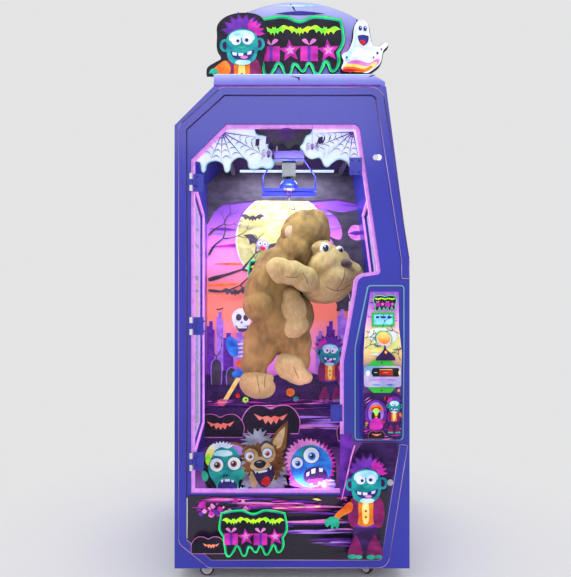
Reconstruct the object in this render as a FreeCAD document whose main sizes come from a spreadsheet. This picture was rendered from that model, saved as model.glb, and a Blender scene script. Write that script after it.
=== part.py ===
import FreeCAD, Part
import math
import os
import Sketcher

# A giant-prize crane machine: a sheet-metal and board cabinet on four braked casters, a glass
# front door, a lower service door, a control column, a gantry with a lifting gripper, one large
# plush prize on a string, and a lit topper.
# Frame: +X to the right, +Y to the back, +Z up. The origin is on the floor, at the middle of the
# machine's box. Every length is in millimetres.

doc = FreeCAD.newDocument("crane_machine")
sheet = doc.addObject("Spreadsheet::Sheet", "Sizes")


class Dim:
    """A number that keeps the sheet expression it comes from beside its value."""

    def __init__(self, value, text):
        self.value = float(value)
        self.text = text

    def _join(self, sign, other, value):
        return Dim(value, "(" + self.text + " " + sign + " " + dim(other).text + ")")

    def __add__(self, other):
        return self._join("+", other, self.value + dim(other).value)

    def __radd__(self, other):
        return dim(other) + self

    def __sub__(self, other):
        return self._join("-", other, self.value - dim(other).value)

    def __rsub__(self, other):
        return dim(other) - self

    def __mul__(self, other):
        return self._join("*", other, self.value * dim(other).value)

    def __rmul__(self, other):
        return dim(other) * self

    def __truediv__(self, other):
        return self._join("/", other, self.value / dim(other).value)

    def __neg__(self):
        return Dim(-self.value, "(0 - " + self.text + ")")


def dim(number):
    """A Dim for a plain number; a Dim is passed through."""
    if isinstance(number, Dim):
        return number
    return Dim(number, "({:.6f})".format(number))


def root(square):
    return Dim(math.sqrt(square.value), "sqrt(" + square.text + ")")


sheet_row = [0]


def size(alias, value, note):
    """Write one driving dimension to the sheet and give it back as a Dim."""
    sheet_row[0] += 1
    cell = "B" + str(sheet_row[0])
    sheet.set("A" + str(sheet_row[0]), note)
    sheet.set(cell, str(value))
    sheet.setAlias(cell, alias)
    return Dim(value, "Sizes." + alias)


# ---------------------------------------------------------------- driving dimensions
cab_width = size("cab_width", 1000, "cabinet width")
cab_depth = size("cab_depth", 1000, "front face to rear face")
cab_top = size("cab_top", 2120, "floor to roof")
base_gap = size("base_gap", 70, "floor to the panels' lower edges")
wall = size("wall", 18, "side, roof and rear panel thickness")
fascia_wall = size("fascia_wall", 18, "front fascia thickness")
front_reach = size("front_reach", 72, "front face to the foremost point of the button")
rear_reach = size("rear_reach", 14, "rear face to the rearmost point of the rear door pull")
chamfer = size("chamfer", 165, "leg of the upper left corner cut")
roof_right = size("roof_right", 400, "right end of the roof from the middle")
shoulder = size("shoulder", 1358, "height where the right side turns inwards")
play = size("play", 0.4, "gap between parts that move past each other")
fit = size("fit", 0.05, "radial clearance of a running fit")

left = -cab_width / 2
right = cab_width / 2
front = front_reach - (cab_depth + front_reach + rear_reach) / 2
rear = front + cab_depth
in_front = front + fascia_wall
in_rear = rear - wall
lean = (right - roof_right) / (cab_top - shoulder)
lean_hyp = root(1 + lean * lean)
MITRE = math.sqrt(2) - 1


# ---------------------------------------------------------------- ways of making a piece
def bind(thing, name, value):
    thing.setExpression(name, dim(value).text)


def place(thing, point):
    for letter, value in zip("xyz", point):
        bind(thing, "Placement.Base." + letter, value)


def box(label, low, high):
    """A block between two opposite corners."""
    block = doc.addObject("Part::Box", label)
    block.Label = label
    place(block, low)
    for name, start, end in zip(("Length", "Width", "Height"), low, high):
        bind(block, name, dim(end) - start)
    return block


TURNS = {
    "Z": FreeCAD.Rotation(),
    "X": FreeCAD.Rotation(FreeCAD.Vector(0, 1, 0), 90),
    "Y": FreeCAD.Rotation(FreeCAD.Vector(1, 0, 0), -90),
}


def rod(label, start, radius, length, axis="Z"):
    """A cylinder from a point along +X, +Y or +Z, or along a turn of its own."""
    cylinder = doc.addObject("Part::Cylinder", label)
    cylinder.Label = label
    cylinder.Placement.Rotation = TURNS[axis] if isinstance(axis, str) else axis
    place(cylinder, start)
    bind(cylinder, "Radius", radius)
    bind(cylinder, "Height", length)
    return cylinder


def strut(label, start, end, radius):
    """A round rod between two points in one X-Z plane or one Y-Z plane."""
    start = [dim(value) for value in start]
    end = [dim(value) for value in end]
    run = [b - a for a, b in zip(start, end)]
    length = root(run[0] * run[0] + run[1] * run[1] + run[2] * run[2])
    turn = FreeCAD.Rotation(FreeCAD.Vector(0, 0, 1), FreeCAD.Vector(*[r.value for r in run]))
    return rod(label, start, radius, length, turn)


def ball(label, centre, radius):
    sphere = doc.addObject("Part::Sphere", label)
    sphere.Label = label
    place(sphere, centre)
    bind(sphere, "Radius", radius)
    return sphere


def cut(label, base, tool):
    """The base with the tool's space taken out of it."""
    result = doc.addObject("Part::Cut", label)
    result.Label = label
    result.Base = base
    result.Tool = tool
    return result


def join(label, shapes):
    result = doc.addObject("Part::MultiFuse", label)
    result.Label = label
    result.Shapes = shapes
    return result


def overlap(label, shapes):
    result = doc.addObject("Part::MultiCommon", label)
    result.Label = label
    result.Shapes = shapes
    return result


def group(label, pieces):
    """Several separate solids in one node."""
    result = doc.addObject("Part::Compound", label)
    result.Label = label
    result.Links = pieces
    return result


def blank_sketch(body, plane, offset):
    """An empty sketch on one of the body's own origin planes, moved along that plane's normal."""
    sketch = body.newObject("Sketcher::SketchObject", body.Name + "_sketch")
    origin_plane = [f for f in body.Origin.OriginFeatures if f.Role == plane + "_Plane"][0]
    sketch.AttachmentSupport = [(origin_plane, "")]
    sketch.MapMode = "FlatFace"
    bind(sketch, "AttachmentOffset.Base.z", offset)
    return sketch


def draw_loop(sketch, points):
    """A closed outline of straight edges, with every corner tied to the sheet."""
    points = [(dim(x), dim(y)) for x, y in points]
    first = sketch.GeometryCount
    corners = [FreeCAD.Vector(x.value, y.value, 0) for x, y in points]
    for here, there in zip(corners, corners[1:] + corners[:1]):
        sketch.addGeometry(Part.LineSegment(here, there), False)
    count = len(points)
    for index, (x, y) in enumerate(points):
        line = first + index
        following = first + (index + 1) % count
        sketch.addConstraint(Sketcher.Constraint("Coincident", line, 2, following, 1))
        for kind, value in (("DistanceX", x), ("DistanceY", y)):
            number = sketch.addConstraint(
                Sketcher.Constraint(kind, -1, 1, line, 1, value.value))
            sketch.setExpression("Constraints[" + str(number) + "]", value.text)


def draw_circle(sketch, x, y, radius):
    x, y, radius = dim(x), dim(y), dim(radius)
    circle = sketch.addGeometry(
        Part.Circle(FreeCAD.Vector(x.value, y.value, 0), FreeCAD.Vector(0, 0, 1), radius.value), False)
    for kind, value in (("DistanceX", x), ("DistanceY", y)):
        number = sketch.addConstraint(Sketcher.Constraint(kind, -1, 1, circle, 3, value.value))
        sketch.setExpression("Constraints[" + str(number) + "]", value.text)
    number = sketch.addConstraint(Sketcher.Constraint("Radius", circle, radius.value))
    sketch.setExpression("Constraints[" + str(number) + "]", radius.text)


def prism(label, plane, outline, low, high, holes=(), circles=(), rounds=()):
    """A PartDesign body: an outline in the XY, XZ or YZ plane, padded from low to high.

    rounds lists pairs of outline points and the radius that their edges are rounded to.
    """
    body = doc.addObject("PartDesign::Body", label)
    body.Label = label
    low, high = dim(low), dim(high)
    sketch = blank_sketch(body, plane, -high if plane == "XZ" else low)
    draw_loop(sketch, outline)
    for hole in holes:
        draw_loop(sketch, hole)
    for circle in circles:
        draw_circle(sketch, *circle)
    pad = body.newObject("PartDesign::Pad", label + "_pad")
    pad.Profile = sketch
    bind(pad, "Length", high - low)
    for corners, radius in rounds:
        doc.recompute()
        round_corners(body, body.Tip, plane, corners, radius)
    return body


FLAT = {"XY": (0, 1), "XZ": (0, 2), "YZ": (1, 2)}


def round_corners(body, feature, plane, corners, radius):
    """Round the straight edges that stand on the given outline points."""
    across, up = FLAT[plane]
    wanted = [(dim(x).value, dim(y).value) for x, y in corners]
    names = []
    for index, edge in enumerate(feature.Shape.Edges, start=1):
        ends = [(vertex.Point[across], vertex.Point[up]) for vertex in edge.Vertexes]
        for corner in wanted:
            if all(math.dist(end, corner) < 0.01 for end in ends) and len(ends) == 2:
                names.append("Edge" + str(index))
    fillet = body.newObject("PartDesign::Fillet", body.Name + "_fillet")
    fillet.Base = (feature, names)
    bind(fillet, "Radius", radius)
    body.Tip = fillet


def turned(label, plane, outline, axis):
    """A PartDesign body made by a full turn of an outline about a sketch axis."""
    body = doc.addObject("PartDesign::Body", label)
    body.Label = label
    sketch = blank_sketch(body, plane, 0)
    draw_loop(sketch, outline)
    revolution = body.newObject("PartDesign::Revolution", label + "_turn")
    revolution.Profile = sketch
    revolution.ReferenceAxis = (sketch, [axis])
    revolution.Angle = 360
    return body


def rectangle(x0, y0, x1, y1):
    return [(x0, y0), (x1, y0), (x1, y1), (x0, y1)]


# ---------------------------------------------------------------- cabinet shell
def left_line(inset, foot):
    """The left side and its corner cut, moved inwards by inset, from the foot up to the roof."""
    return [
        (left + inset, foot),
        (left + inset, cab_top - chamfer - MITRE * inset),
        (left + chamfer + MITRE * inset, cab_top - inset),
    ]


def right_line(inset, foot):
    """The right side and its upper lean, moved inwards by inset, from the foot up to the roof."""
    return [
        (right - inset, foot),
        (right - inset, shoulder - inset * (lean_hyp - 1) / lean),
        (roof_right + lean * inset - inset * lean_hyp, cab_top - inset),
    ]


def strip(line, inner, outer, foot):
    """The closed section between two insets of one side's line."""
    return line(dim(outer), foot) + line(dim(inner), foot)[::-1]


def inside_outline(inset, foot):
    """The whole front outline, moved inwards by inset."""
    return left_line(dim(inset), foot) + right_line(dim(inset), foot)[::-1]


side_window_front = size("side_window_front", 100, "front face to the side windows")
side_window_rear = size("side_window_rear", 701, "front face to the side windows' rear edge")
side_window_low = size("side_window_low", 471, "floor to the side windows")
side_window_high = size("side_window_high", 1790, "floor to the side windows' top")
side_window_cut = size("side_window_cut", 80, "height of the windows' rear corner cuts")
glass_wall = size("glass_wall", 6, "side window thickness")
profile_wide = size("profile_wide", 14, "width of a lit edge profile")
profile_deep = size("profile_deep", 10, "depth of a lit edge profile")
bay_deep = size("bay_deep", 120, "depth of the control bay behind the fascia")


def side_window(start, grow):
    """A side window's outline in the Y-Z plane, with both rear corners cut, grown all round."""
    fore = start - grow
    aft = front + side_window_rear + grow
    low = side_window_low - grow
    high = side_window_high + grow
    slope_start = aft - 3.5 * side_window_cut
    return [
        (fore, low), (slope_start, low), (aft, low + side_window_cut),
        (aft, high - side_window_cut), (slope_start, high), (fore, high),
    ]


window_starts = {
    "left": front + side_window_front,
    "right": front + fascia_wall + bay_deep + 40,
}
side_lines = {"left": left_line, "right": right_line}
frame_foot = side_window_low - 2 * profile_wide
led_pieces = []
side_panes = []
for side, line in side_lines.items():
    reach = (left - 50, left + chamfer) if side == "left" else (right - chamfer, right + 50)
    start = window_starts[side]
    sheet_metal = prism(side + "_blank", "XZ", strip(line, 0, wall, base_gap), in_front, in_rear)
    opening = prism(side + "_opening", "YZ", side_window(start, dim(0)), *reach)
    cut(side + "_side_panel", sheet_metal, opening)
    glass_in = (wall - glass_wall) / 2
    pane = prism(side + "_pane", "XZ", strip(line, glass_in, glass_in + glass_wall, frame_foot),
                 in_front, in_rear)
    pane_shape = prism(side + "_pane_shape", "YZ", side_window(start, dim(0)), *reach)
    side_panes.append(overlap(side + "_glass", [pane, pane_shape]))
    ridge = prism(side + "_ridge", "XZ", strip(line, wall, wall + profile_deep, frame_foot),
                  in_front, in_rear)
    ring = prism(side + "_ring", "YZ", side_window(start, profile_wide), *reach,
                 holes=[side_window(start, dim(0))])
    led_pieces.append(overlap(side + "_led", [ridge, ring]))

group("side_glasses", side_panes)
prism("roof_panel", "XZ",
      [(left + chamfer, cab_top), (roof_right, cab_top)]
      + [right_line(wall, base_gap)[2], left_line(wall, base_gap)[2]],
      in_front, in_rear)

# Base: a rail frame that the casters bolt to, with a floor board on it.
caster_height = size("caster_height", 84, "floor to the casters' mounting face")
frame_high = size("frame_high", 40, "height of the base frame's rails")
front_rail = size("front_rail", 100, "width of the rails over the casters")
side_rail = size("side_rail", 40, "width of the side rails")
board = size("board", 12, "thickness of the inner floor and deck boards")
deck_height = size("deck_height", 380, "floor to the top of the prize deck")

frame_top = caster_height + frame_high
inner_left = left + wall
inner_right = right - wall
middle_rail_y = (in_front + in_rear) / 2
post_side = size("post_side", 30, "side of the square deck posts")
deck_under = deck_height - board
base_rails = prism("base_rails", "XY", rectangle(inner_left, in_front, inner_right, in_rear),
                   caster_height, frame_top,
                   holes=[
                       rectangle(inner_left + side_rail, in_front + front_rail,
                                 inner_right - side_rail, middle_rail_y - side_rail / 2),
                       rectangle(inner_left + side_rail, middle_rail_y + side_rail / 2,
                                 inner_right - side_rail, in_rear - front_rail),
                   ])
deck_posts = [
    box("deck_post_" + name, (x, y, frame_top), (x + post_side, y + post_side, deck_under))
    for name, x, y in (
        ("front_left", inner_left, in_front), ("front_right", inner_right - post_side, in_front),
        ("rear_left", inner_left, in_rear - post_side), ("rear_right", inner_right - post_side, in_rear - post_side))
]
jack_pad = size("jack_pad", 6, "thickness of the jacking pad under the middle rail")
jack_half = size("jack_half", 100, "half length of the jacking pad")
pad_plate = box("pad_plate", (-jack_half, middle_rail_y - side_rail / 2, caster_height - jack_pad),
                (jack_half, middle_rail_y + side_rail / 2, caster_height))
join("base_frame", [base_rails, pad_plate] + deck_posts)
floor_blank = box("floor_blank", (inner_left, in_front, frame_top), (inner_right, in_rear, frame_top + board))
cut("base_floor", floor_blank, join("post_notches", deck_posts))
box("prize_deck", (inner_left, in_front, deck_under), (inner_right, in_rear, deck_height))

# ---------------------------------------------------------------- front fascia and its window
win_left = size("win_left", -430, "left edge of the window opening")
win_right = size("win_right", 221, "right edge of the window opening beside the lower door")
win_low = size("win_low", 388, "floor to the window opening")
win_high = size("win_high", 1962, "floor to the top of the window opening")
win_cut = size("win_cut", 150, "leg of the window's upper left corner cut")
win_top_right = size("win_top_right", 286, "right end of the window's top edge")
win_shelf = size("win_shelf", 1322, "height where the window steps in above the control column")
win_shelf_right = size("win_shelf_right", 380, "right end of the window at that step")
win_step = size("win_step", 283, "right edge of the window just under the step")
win_bend_high = size("win_bend_high", 1229, "upper end of the window's slanted stretch")
win_bend_low = size("win_bend_low", 948, "lower end of the window's slanted stretch")


def window_outline(grow):
    """The window opening's outline, moved outwards by grow."""
    grow = dim(grow)
    return [
        (win_left - grow, win_low - grow),
        (win_left - grow, win_high - win_cut + MITRE * grow),
        (win_left + win_cut - MITRE * grow, win_high + grow),
        (win_top_right + 0.86 * grow, win_high + grow),
        (win_shelf_right + grow, win_shelf - grow),
        (win_step + grow, win_shelf - grow - 14),
        (win_step - 12 + grow, win_bend_high),
        (win_right + grow, win_bend_low - 0.1 * grow),
        (win_right + grow, win_low - grow),
    ]


def window_prism(label, grow, low, high):
    outline = window_outline(grow)
    rounds = [([outline[3]], 26 + dim(grow)), ([outline[4]], 20 + dim(grow)),
              ([outline[5]], 34 - dim(grow))]
    return prism(label, "XZ", outline, low, high, rounds=rounds)


lower_open_left = size("lower_open_left", -380, "left edge of the service opening behind the door")
lower_open_right = size("lower_open_right", 190, "right edge of the service opening")
lower_open_low = size("lower_open_low", 170, "floor to the service opening")
lower_open_high = size("lower_open_high", 340, "floor to the top of the service opening")
ctrl_left = size("ctrl_left", 265, "left edge of the bead round the control column")
ctrl_right_low = size("ctrl_right_low", 473, "right edge of the bead at its foot")
ctrl_right_high = size("ctrl_right_high", 477, "right edge of the bead above its knee")
ctrl_knee = size("ctrl_knee", 1010, "height of the bead's knee")
ctrl_low = size("ctrl_low", 616, "floor to the bead")
ctrl_high = size("ctrl_high", 1275, "floor to the top of the bead")
ctrl_top_left = size("ctrl_top_left", 320, "left end of the bead's top edge")
ctrl_gap = size("ctrl_gap", 6, "gap between the lower door and the bead")
house_left = size("house_left", 293, "left edge of the control housing")
house_right = size("house_right", 453, "right edge of the control housing")
house_top_left = size("house_top_left", 330, "left end of the control housing's top edge")
house_low = size("house_low", 626, "floor to the control housing")
house_high = size("house_high", 1248, "floor to the top of the control housing")
wire_margin = size("wire_margin", 30, "fascia left round the hole behind the control housing")

fascia_blank = prism("fascia_blank", "XZ", inside_outline(0, base_gap), front, in_front, holes=[
    rectangle(lower_open_left, lower_open_low, lower_open_right, lower_open_high),
    rectangle(house_top_left + wire_margin, house_low + wire_margin,
              house_right - wire_margin, house_high - wire_margin),
])
fascia_window = window_prism("fascia_window", 0, front - 10, in_front + 10)
windowed_fascia = cut("windowed_fascia", fascia_blank, fascia_window)

door_glass_wall = size("door_glass_wall", 8, "thickness of the front glass")
door_gap = size("door_gap", 4, "gap round the glass in its opening")
glass_set_back = size("glass_set_back", 2, "front face to the front of the glass")
glass_front = front + glass_set_back
glass_back = glass_front + door_glass_wall
window_prism("door_glass", -door_gap, glass_front, glass_back)

seat_gap = size("seat_gap", 1, "gap between the closed glass and the lit frame behind it")
frame_front = glass_back + seat_gap
frame_back = in_front + 8
frame_outer = window_prism("frame_outer", 0, frame_front, frame_back)
frame_inner = window_prism("frame_inner", -profile_wide, frame_front - 5, frame_back + 5)
led_pieces.append(cut("window_led", frame_outer, frame_inner))

# ---------------------------------------------------------------- control bay behind the fascia
bay_left = size("bay_left", 290, "left wall of the control bay")
bay_high = size("bay_high", 1290, "floor to the top of the control bay")
sheet_wall = size("sheet_wall", 2, "thickness of folded sheet parts")
bay_outer = box("bay_outer", (bay_left, in_front, deck_height), (inner_right, in_front + bay_deep, bay_high))
bay_inner = box("bay_inner", (bay_left + sheet_wall, in_front - 5, deck_height - 5),
                (inner_right + 5, in_front + bay_deep - sheet_wall, bay_high - sheet_wall))
cut("control_bay_cover", bay_outer, bay_inner)

# ---------------------------------------------------------------- chamber lining
backdrop_depth = size("backdrop_depth", 900, "front face to the backdrop")
backdrop_wall = size("backdrop_wall", 6, "backdrop thickness")
ceiling_height = size("ceiling_height", 2020, "floor to the underside of the ceiling panel")
ceiling_wall = size("ceiling_wall", 6, "ceiling panel thickness")


def left_at(height):
    """The inner face of the upper left corner cut at a height."""
    return left + chamfer + MITRE * wall - (cab_top - wall - height)


def right_at(height):
    """The inner face of the leaning right side at a height."""
    return roof_right + lean * (cab_top - height) - wall * lean_hyp


ceiling_top = ceiling_height + ceiling_wall
backdrop_y = front + backdrop_depth
box("ceiling_panel", (left_at(ceiling_top), in_front, ceiling_height),
    (right_at(ceiling_top), in_rear, ceiling_top))
prism("backdrop_panel", "XZ",
      [(inner_left, deck_height), left_line(wall, base_gap)[1], (left_at(ceiling_height), ceiling_height),
       (right_at(ceiling_height), ceiling_height), right_line(wall, base_gap)[1], (inner_right, deck_height)],
      backdrop_y, backdrop_y + backdrop_wall)
light_wide = size("light_wide", 20, "width of a ceiling light bar")
light_long = size("light_long", 560, "length of a ceiling light bar")
for name, y in (("light_front", in_front + 40), ("light_middle", in_front + 110), ("light_rear", backdrop_y - 60)):
    led_pieces.append(box(name, (-light_long / 2, y, ceiling_height - profile_deep),
                          (light_long / 2, y + light_wide, ceiling_height)))
group("led_profiles", led_pieces)

# ---------------------------------------------------------------- raised trim on the fascia
trim_wide = size("trim_wide", 33, "width of the raised trim band")
trim_thick = size("trim_thick", 4, "how far the trim band stands off the fascia")
trim_side = size("trim_side", 35, "cabinet edge to the middle of the band on the left side")
trim_edge = size("trim_edge", 21, "roof to the middle of the band along the top and bottom")


def rounded_line(points, radii, shift):
    """Edges through the points with round corners, the whole line moved to its left by shift."""
    points = [FreeCAD.Vector(dim(x).value, dim(y).value, 0) for x, y in points]
    runs = [(b - a).normalize() for a, b in zip(points, points[1:])]
    lefts = [FreeCAD.Vector(-run.y, run.x, 0) for run in runs]
    moved = [points[0] + lefts[0] * shift]
    for point, before, after in zip(points[1:-1], lefts, lefts[1:]):
        moved.append(point + (before + after) * (shift / (1 + before.dot(after))))
    moved.append(points[-1] + lefts[-1] * shift)
    edges = []
    start = moved[0]
    for corner, radius, run, following in zip(moved[1:-1], radii, runs, runs[1:]):
        side = 1 if run.cross(following).z > 0 else -1
        radius = radius - side * shift
        reach = radius * math.tan(run.getAngle(following) / 2)
        arc_start = corner - run * reach
        arc_end = corner + following * reach
        centre = arc_start + FreeCAD.Vector(-run.y, run.x, 0) * side * radius
        middle = centre + (corner - centre).normalize() * radius
        edges.append(Part.LineSegment(start, arc_start).toShape())
        edges.append(Part.Arc(arc_start, middle, arc_end).toShape())
        start = arc_end
    edges.append(Part.LineSegment(start, moved[-1]).toShape())
    return edges, moved[0], moved[-1]


def ribbon(label, points, radii, inner, outer, low, high):
    """A flat band along a line on the front, between two sideways shifts, low to high in Y."""
    one_side, one_start, one_end = rounded_line(points, radii, inner.value)
    other_side, other_start, other_end = rounded_line(points, radii, outer.value)
    ends = [Part.LineSegment(one_start, other_start).toShape(), Part.LineSegment(one_end, other_end).toShape()]
    wire = Part.Wire(Part.sortEdges(one_side + ends + other_side)[0])
    thickness = (high - low).value
    shape = Part.Face(wire).extrude(FreeCAD.Vector(0, 0, thickness))
    shape = shape.transformGeometry(FreeCAD.Placement(
        FreeCAD.Vector(0, high.value, 0), FreeCAD.Rotation(FreeCAD.Vector(1, 0, 0), 90)).toMatrix())
    piece = doc.addObject("Part::Feature", label)
    piece.Label = label
    piece.Shape = shape
    return piece


band_line = [
    (right - trim_edge + 2.5, 1303), (right - trim_edge + 2.5, shoulder + 22),
    (roof_right - 31, cab_top - trim_edge), (left + 206, cab_top - trim_edge),
    (left + trim_side, cab_top - 176), (left + trim_side, 186),
    (left + 152, base_gap + trim_edge), (right - 108, base_gap + trim_edge), (right - 26, 597),
]
ribbon("trim_band", band_line, [60, 42, 20, 20, 20, 20, 30], trim_wide / 2, -trim_wide / 2,
       front - trim_thick, front)

# ---------------------------------------------------------------- lower door
door_sheet = size("door_sheet", 3, "thickness of the lower door")
door_stand = size("door_stand", 1, "gap between the fascia and the lower door")
lower_left = size("lower_left", -441, "left edge of the lower door")
lower_bottom = size("lower_bottom", 110, "floor to the lower door")
lower_right = size("lower_right", 449, "right edge of the lower door at its top")
lower_cut_x = size("lower_cut_x", 104, "width of the lower door's bottom left corner cut")
lower_cut_z = size("lower_cut_z", 82, "height of that corner cut")
door_ear = size("door_ear", 28, "height of the lower door's ear beside the bead's foot")
lower_toe = size("lower_toe", 374, "right end of the lower door's bottom edge")
hinge_pin = size("hinge_pin", 3, "radius of the hinge pins")

lower_front = front - door_stand - door_sheet
lower_outline = [
    (lower_left, lower_bottom + lower_cut_z), (lower_left + lower_cut_x, lower_bottom),
    (lower_toe, lower_bottom), (lower_right, ctrl_low - ctrl_gap), (ctrl_left - ctrl_gap, ctrl_low - ctrl_gap),
    (ctrl_left - ctrl_gap, ctrl_low + door_ear), (win_right + door_gap, ctrl_low + door_ear),
    (win_right + door_gap, win_low - ctrl_gap), (lower_left, win_low - ctrl_gap),
]
lower_hinge_x = lower_left - hinge_pin - 1.5
lower_hinge_y = front - hinge_pin - 0.5
lock_face = size("lock_face", 13, "radius of a lock's face")
lock_barrel = size("lock_barrel", 9, "radius of a lock's barrel")
lock_proud = size("lock_proud", 4, "thickness of a lock's face")
lower_lock_x = size("lower_lock_x", 416, "side position of the service door's lock")
lower_lock_z = size("lower_lock_z", 438, "height of the service door's lock")
upper_lock_x = size("upper_lock_x", 368, "side position of the glass door's lock")
upper_lock_z = size("upper_lock_z", 1817, "height of the glass door's lock")
lower_blank = prism("lower_blank", "XZ", lower_outline, lower_front, front - door_stand,
                    rounds=[([lower_outline[2]], 14)])
lower_lock_hole = rod("lower_lock_hole", (lower_lock_x, front - 30, lower_lock_z), lock_barrel + fit, 60, "Y")
cut("lower_door", lower_blank, lower_lock_hole)


def cam_lock(label, x, z, face_y, barrel_end, cam_long):
    """A key-turned lock: a round face with a key slot, its barrel, and a cam at the inner end."""
    face = rod(label + "_face", (x, face_y - lock_proud, z), lock_face, lock_proud, "Y")
    barrel = rod(label + "_barrel", (x, face_y, z), lock_barrel, dim(barrel_end) - face_y, "Y")
    cam = box(label + "_cam", (dim(x) - cam_long, barrel_end, dim(z) - 6),
              (dim(x) + 8, dim(barrel_end) + 3, dim(z) + 6))
    solid = join(label + "_solid", [face, barrel, cam])
    slot = box(label + "_slot", (dim(x) - 1, face_y - lock_proud - 1, dim(z) - 5),
               (dim(x) + 1, face_y - lock_proud + 2, dim(z) + 5))
    return cut(label, solid, slot)


cam_lock("glass_door_lock", upper_lock_x, upper_lock_z, front, in_front + 4, 40)
cam_lock("lower_door_lock", lower_lock_x, lower_lock_z, lower_front, in_front + 4, 10)
upper_lock_hole = rod("upper_lock_hole", (upper_lock_x, front - 30, upper_lock_z), lock_barrel + fit, 60, "Y")
lock_way = rod("lock_way", (lower_lock_x, front - 30, lower_lock_z), lock_barrel + 7, 60, "Y")
cut("front_fascia", windowed_fascia, join("lock_holes", [upper_lock_hole, lock_way]))

# ---------------------------------------------------------------- glass door hinges and clamps
knuckle = size("knuckle", 8, "radius of the front hinge knuckles")
knuckle_high = size("knuckle_high", 25, "height of one knuckle")
clamp_wall = size("clamp_wall", 2.5, "thickness of the plates on the glass")
clamp_reach = size("clamp_reach", 44, "how far a hinge plate reaches over the glass")
hinge_heights = [527, 1101, 1710]
hinge_x = win_left + 2
hinge_y = front - knuckle - 0.5
fixed_parts = []
clamp_parts = []
for number, middle in enumerate(hinge_heights, start=1):
    name = "hinge" + str(number)
    low = dim(middle) - 1.5 * knuckle_high - play
    bands = [low, low + knuckle_high + play, low + 2 * knuckle_high + 2 * play]
    top = bands[2] + knuckle_high
    pin = rod(name + "_pin", (hinge_x, hinge_y, low), hinge_pin, top - low)
    leaf = box(name + "_leaf", (hinge_x - 19, front - 3, low), (hinge_x + 1 - knuckle, front, top))
    solids = [leaf]
    for index in (0, 2):
        solids.append(rod(name + "_barrel" + str(index), (hinge_x, hinge_y, bands[index]), knuckle, knuckle_high))
        solids.append(box(name + "_web" + str(index), (hinge_x - 7, hinge_y, bands[index]),
                          (hinge_x, front, bands[index] + knuckle_high)))
    fixed = cut(name + "_fixed", join(name + "_leaf_solid", solids),
                rod(name + "_press_bore", (hinge_x, hinge_y, low), hinge_pin, top - low))
    fixed_parts += [fixed, pin]
    plate = box(name + "_plate", (hinge_x + knuckle + 0.5, glass_front - clamp_wall, low),
                (hinge_x + knuckle + clamp_reach, glass_front, top))
    middle_barrel = rod(name + "_mid", (hinge_x, hinge_y, bands[1]), knuckle, knuckle_high)
    arm = box(name + "_arm", (hinge_x + 0.5, hinge_y, bands[1]),
              (hinge_x + knuckle + 10, glass_front, bands[1] + knuckle_high))
    clamp_parts.append(cut(name + "_moving", join(name + "_plate_solid", [plate, middle_barrel, arm]),
                           rod(name + "_bore", (hinge_x, hinge_y, low), hinge_pin + fit, top - low)))
for name, x, z, wide, high in (("latch_high", 244, 1743, 54, 75), ("latch_low", 164, 695, 50, 72)):
    clamp_parts.append(box(name, (x, glass_front - clamp_wall, z), (x + wide, glass_front, z + high)))
fixed_parts.append(rod("lower_hinge_pin", (lower_hinge_x, lower_hinge_y, lower_bottom + lower_cut_z + 8),
                       hinge_pin, win_low - lower_bottom - lower_cut_z - 24))
group("door_clamp_plates", clamp_parts)

# ---------------------------------------------------------------- rear panel and rear door
rear_door_left = size("rear_door_left", -320, "left edge of the rear opening")
rear_door_right = size("rear_door_right", 320, "right edge of the rear opening")
rear_door_low = size("rear_door_low", 160, "floor to the rear opening")
rear_door_high = size("rear_door_high", 1000, "floor to the top of the rear opening")
rear_door_wall = size("rear_door_wall", 10, "rear door thickness")
rear_gap = size("rear_gap", 3, "gap round the rear door")
rear_pin = size("rear_pin", 4, "radius of the rear hinge barrel")
inlet_x = size("inlet_x", 400, "middle of the power inlet")
inlet_z = size("inlet_z", 190, "height of the power inlet")
inlet_wide = size("inlet_wide", 28, "width of the inlet body")
inlet_high = size("inlet_high", 20, "height of the inlet body")

prism("rear_panel", "XZ", inside_outline(0, base_gap), in_rear, rear, holes=[
    rectangle(rear_door_left, rear_door_low, rear_door_right, rear_door_high),
    rectangle(inlet_x - inlet_wide / 2, inlet_z - inlet_high / 2,
              inlet_x + inlet_wide / 2, inlet_z + inlet_high / 2),
])
latch_x = rear_door_right - 50
latch_z = (rear_door_low + rear_door_high) / 2
vent_holes = []
for row in range(5):
    vent_z = rear_door_high - 90 - 22 * row
    vent_holes.append(rectangle(-90, vent_z, 90, vent_z + 8))
prism("rear_door", "XZ",
      rectangle(rear_door_left + rear_gap, rear_door_low + rear_gap,
                rear_door_right - rear_gap, rear_door_high - rear_gap),
      rear - rear_door_wall, rear, holes=vent_holes, circles=[(latch_x, latch_z, lock_barrel + fit)])
rear_hinge_x = rear_door_left
rear_hinge_y = rear + rear_pin
fixed_parts.append(rod("rear_hinge_barrel", (rear_hinge_x, rear_hinge_y, rear_door_low + 20),
                       rear_pin, rear_door_high - rear_door_low - 40))
group("fixed_hinge_parts", fixed_parts)
handle_long = size("handle_long", 35, "half length of the rear latch handle")
join("rear_latch", [
    rod("latch_disc", (latch_x, rear, latch_z), lock_barrel + 9, 5, "Y"),
    box("latch_bar", (latch_x - 6, rear, latch_z - handle_long), (latch_x + 6, rear + rear_reach, latch_z + handle_long)),
    rod("latch_barrel", (latch_x, rear - rear_door_wall - 6, latch_z), lock_barrel, rear_door_wall + 6, "Y"),
    box("latch_cam", (latch_x - 8, rear - rear_door_wall - 6, latch_z - 8),
        (latch_x + 8, rear - rear_door_wall - 2, latch_z + 30)),
])
inlet_body = box("inlet_body", (inlet_x - inlet_wide / 2, in_rear - 8, inlet_z - inlet_high / 2),
                 (inlet_x + inlet_wide / 2, rear, inlet_z + inlet_high / 2))
inlet_flange = box("inlet_flange", (inlet_x - 24, rear, inlet_z - 14), (inlet_x + 24, rear + 3, inlet_z + 14))
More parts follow.
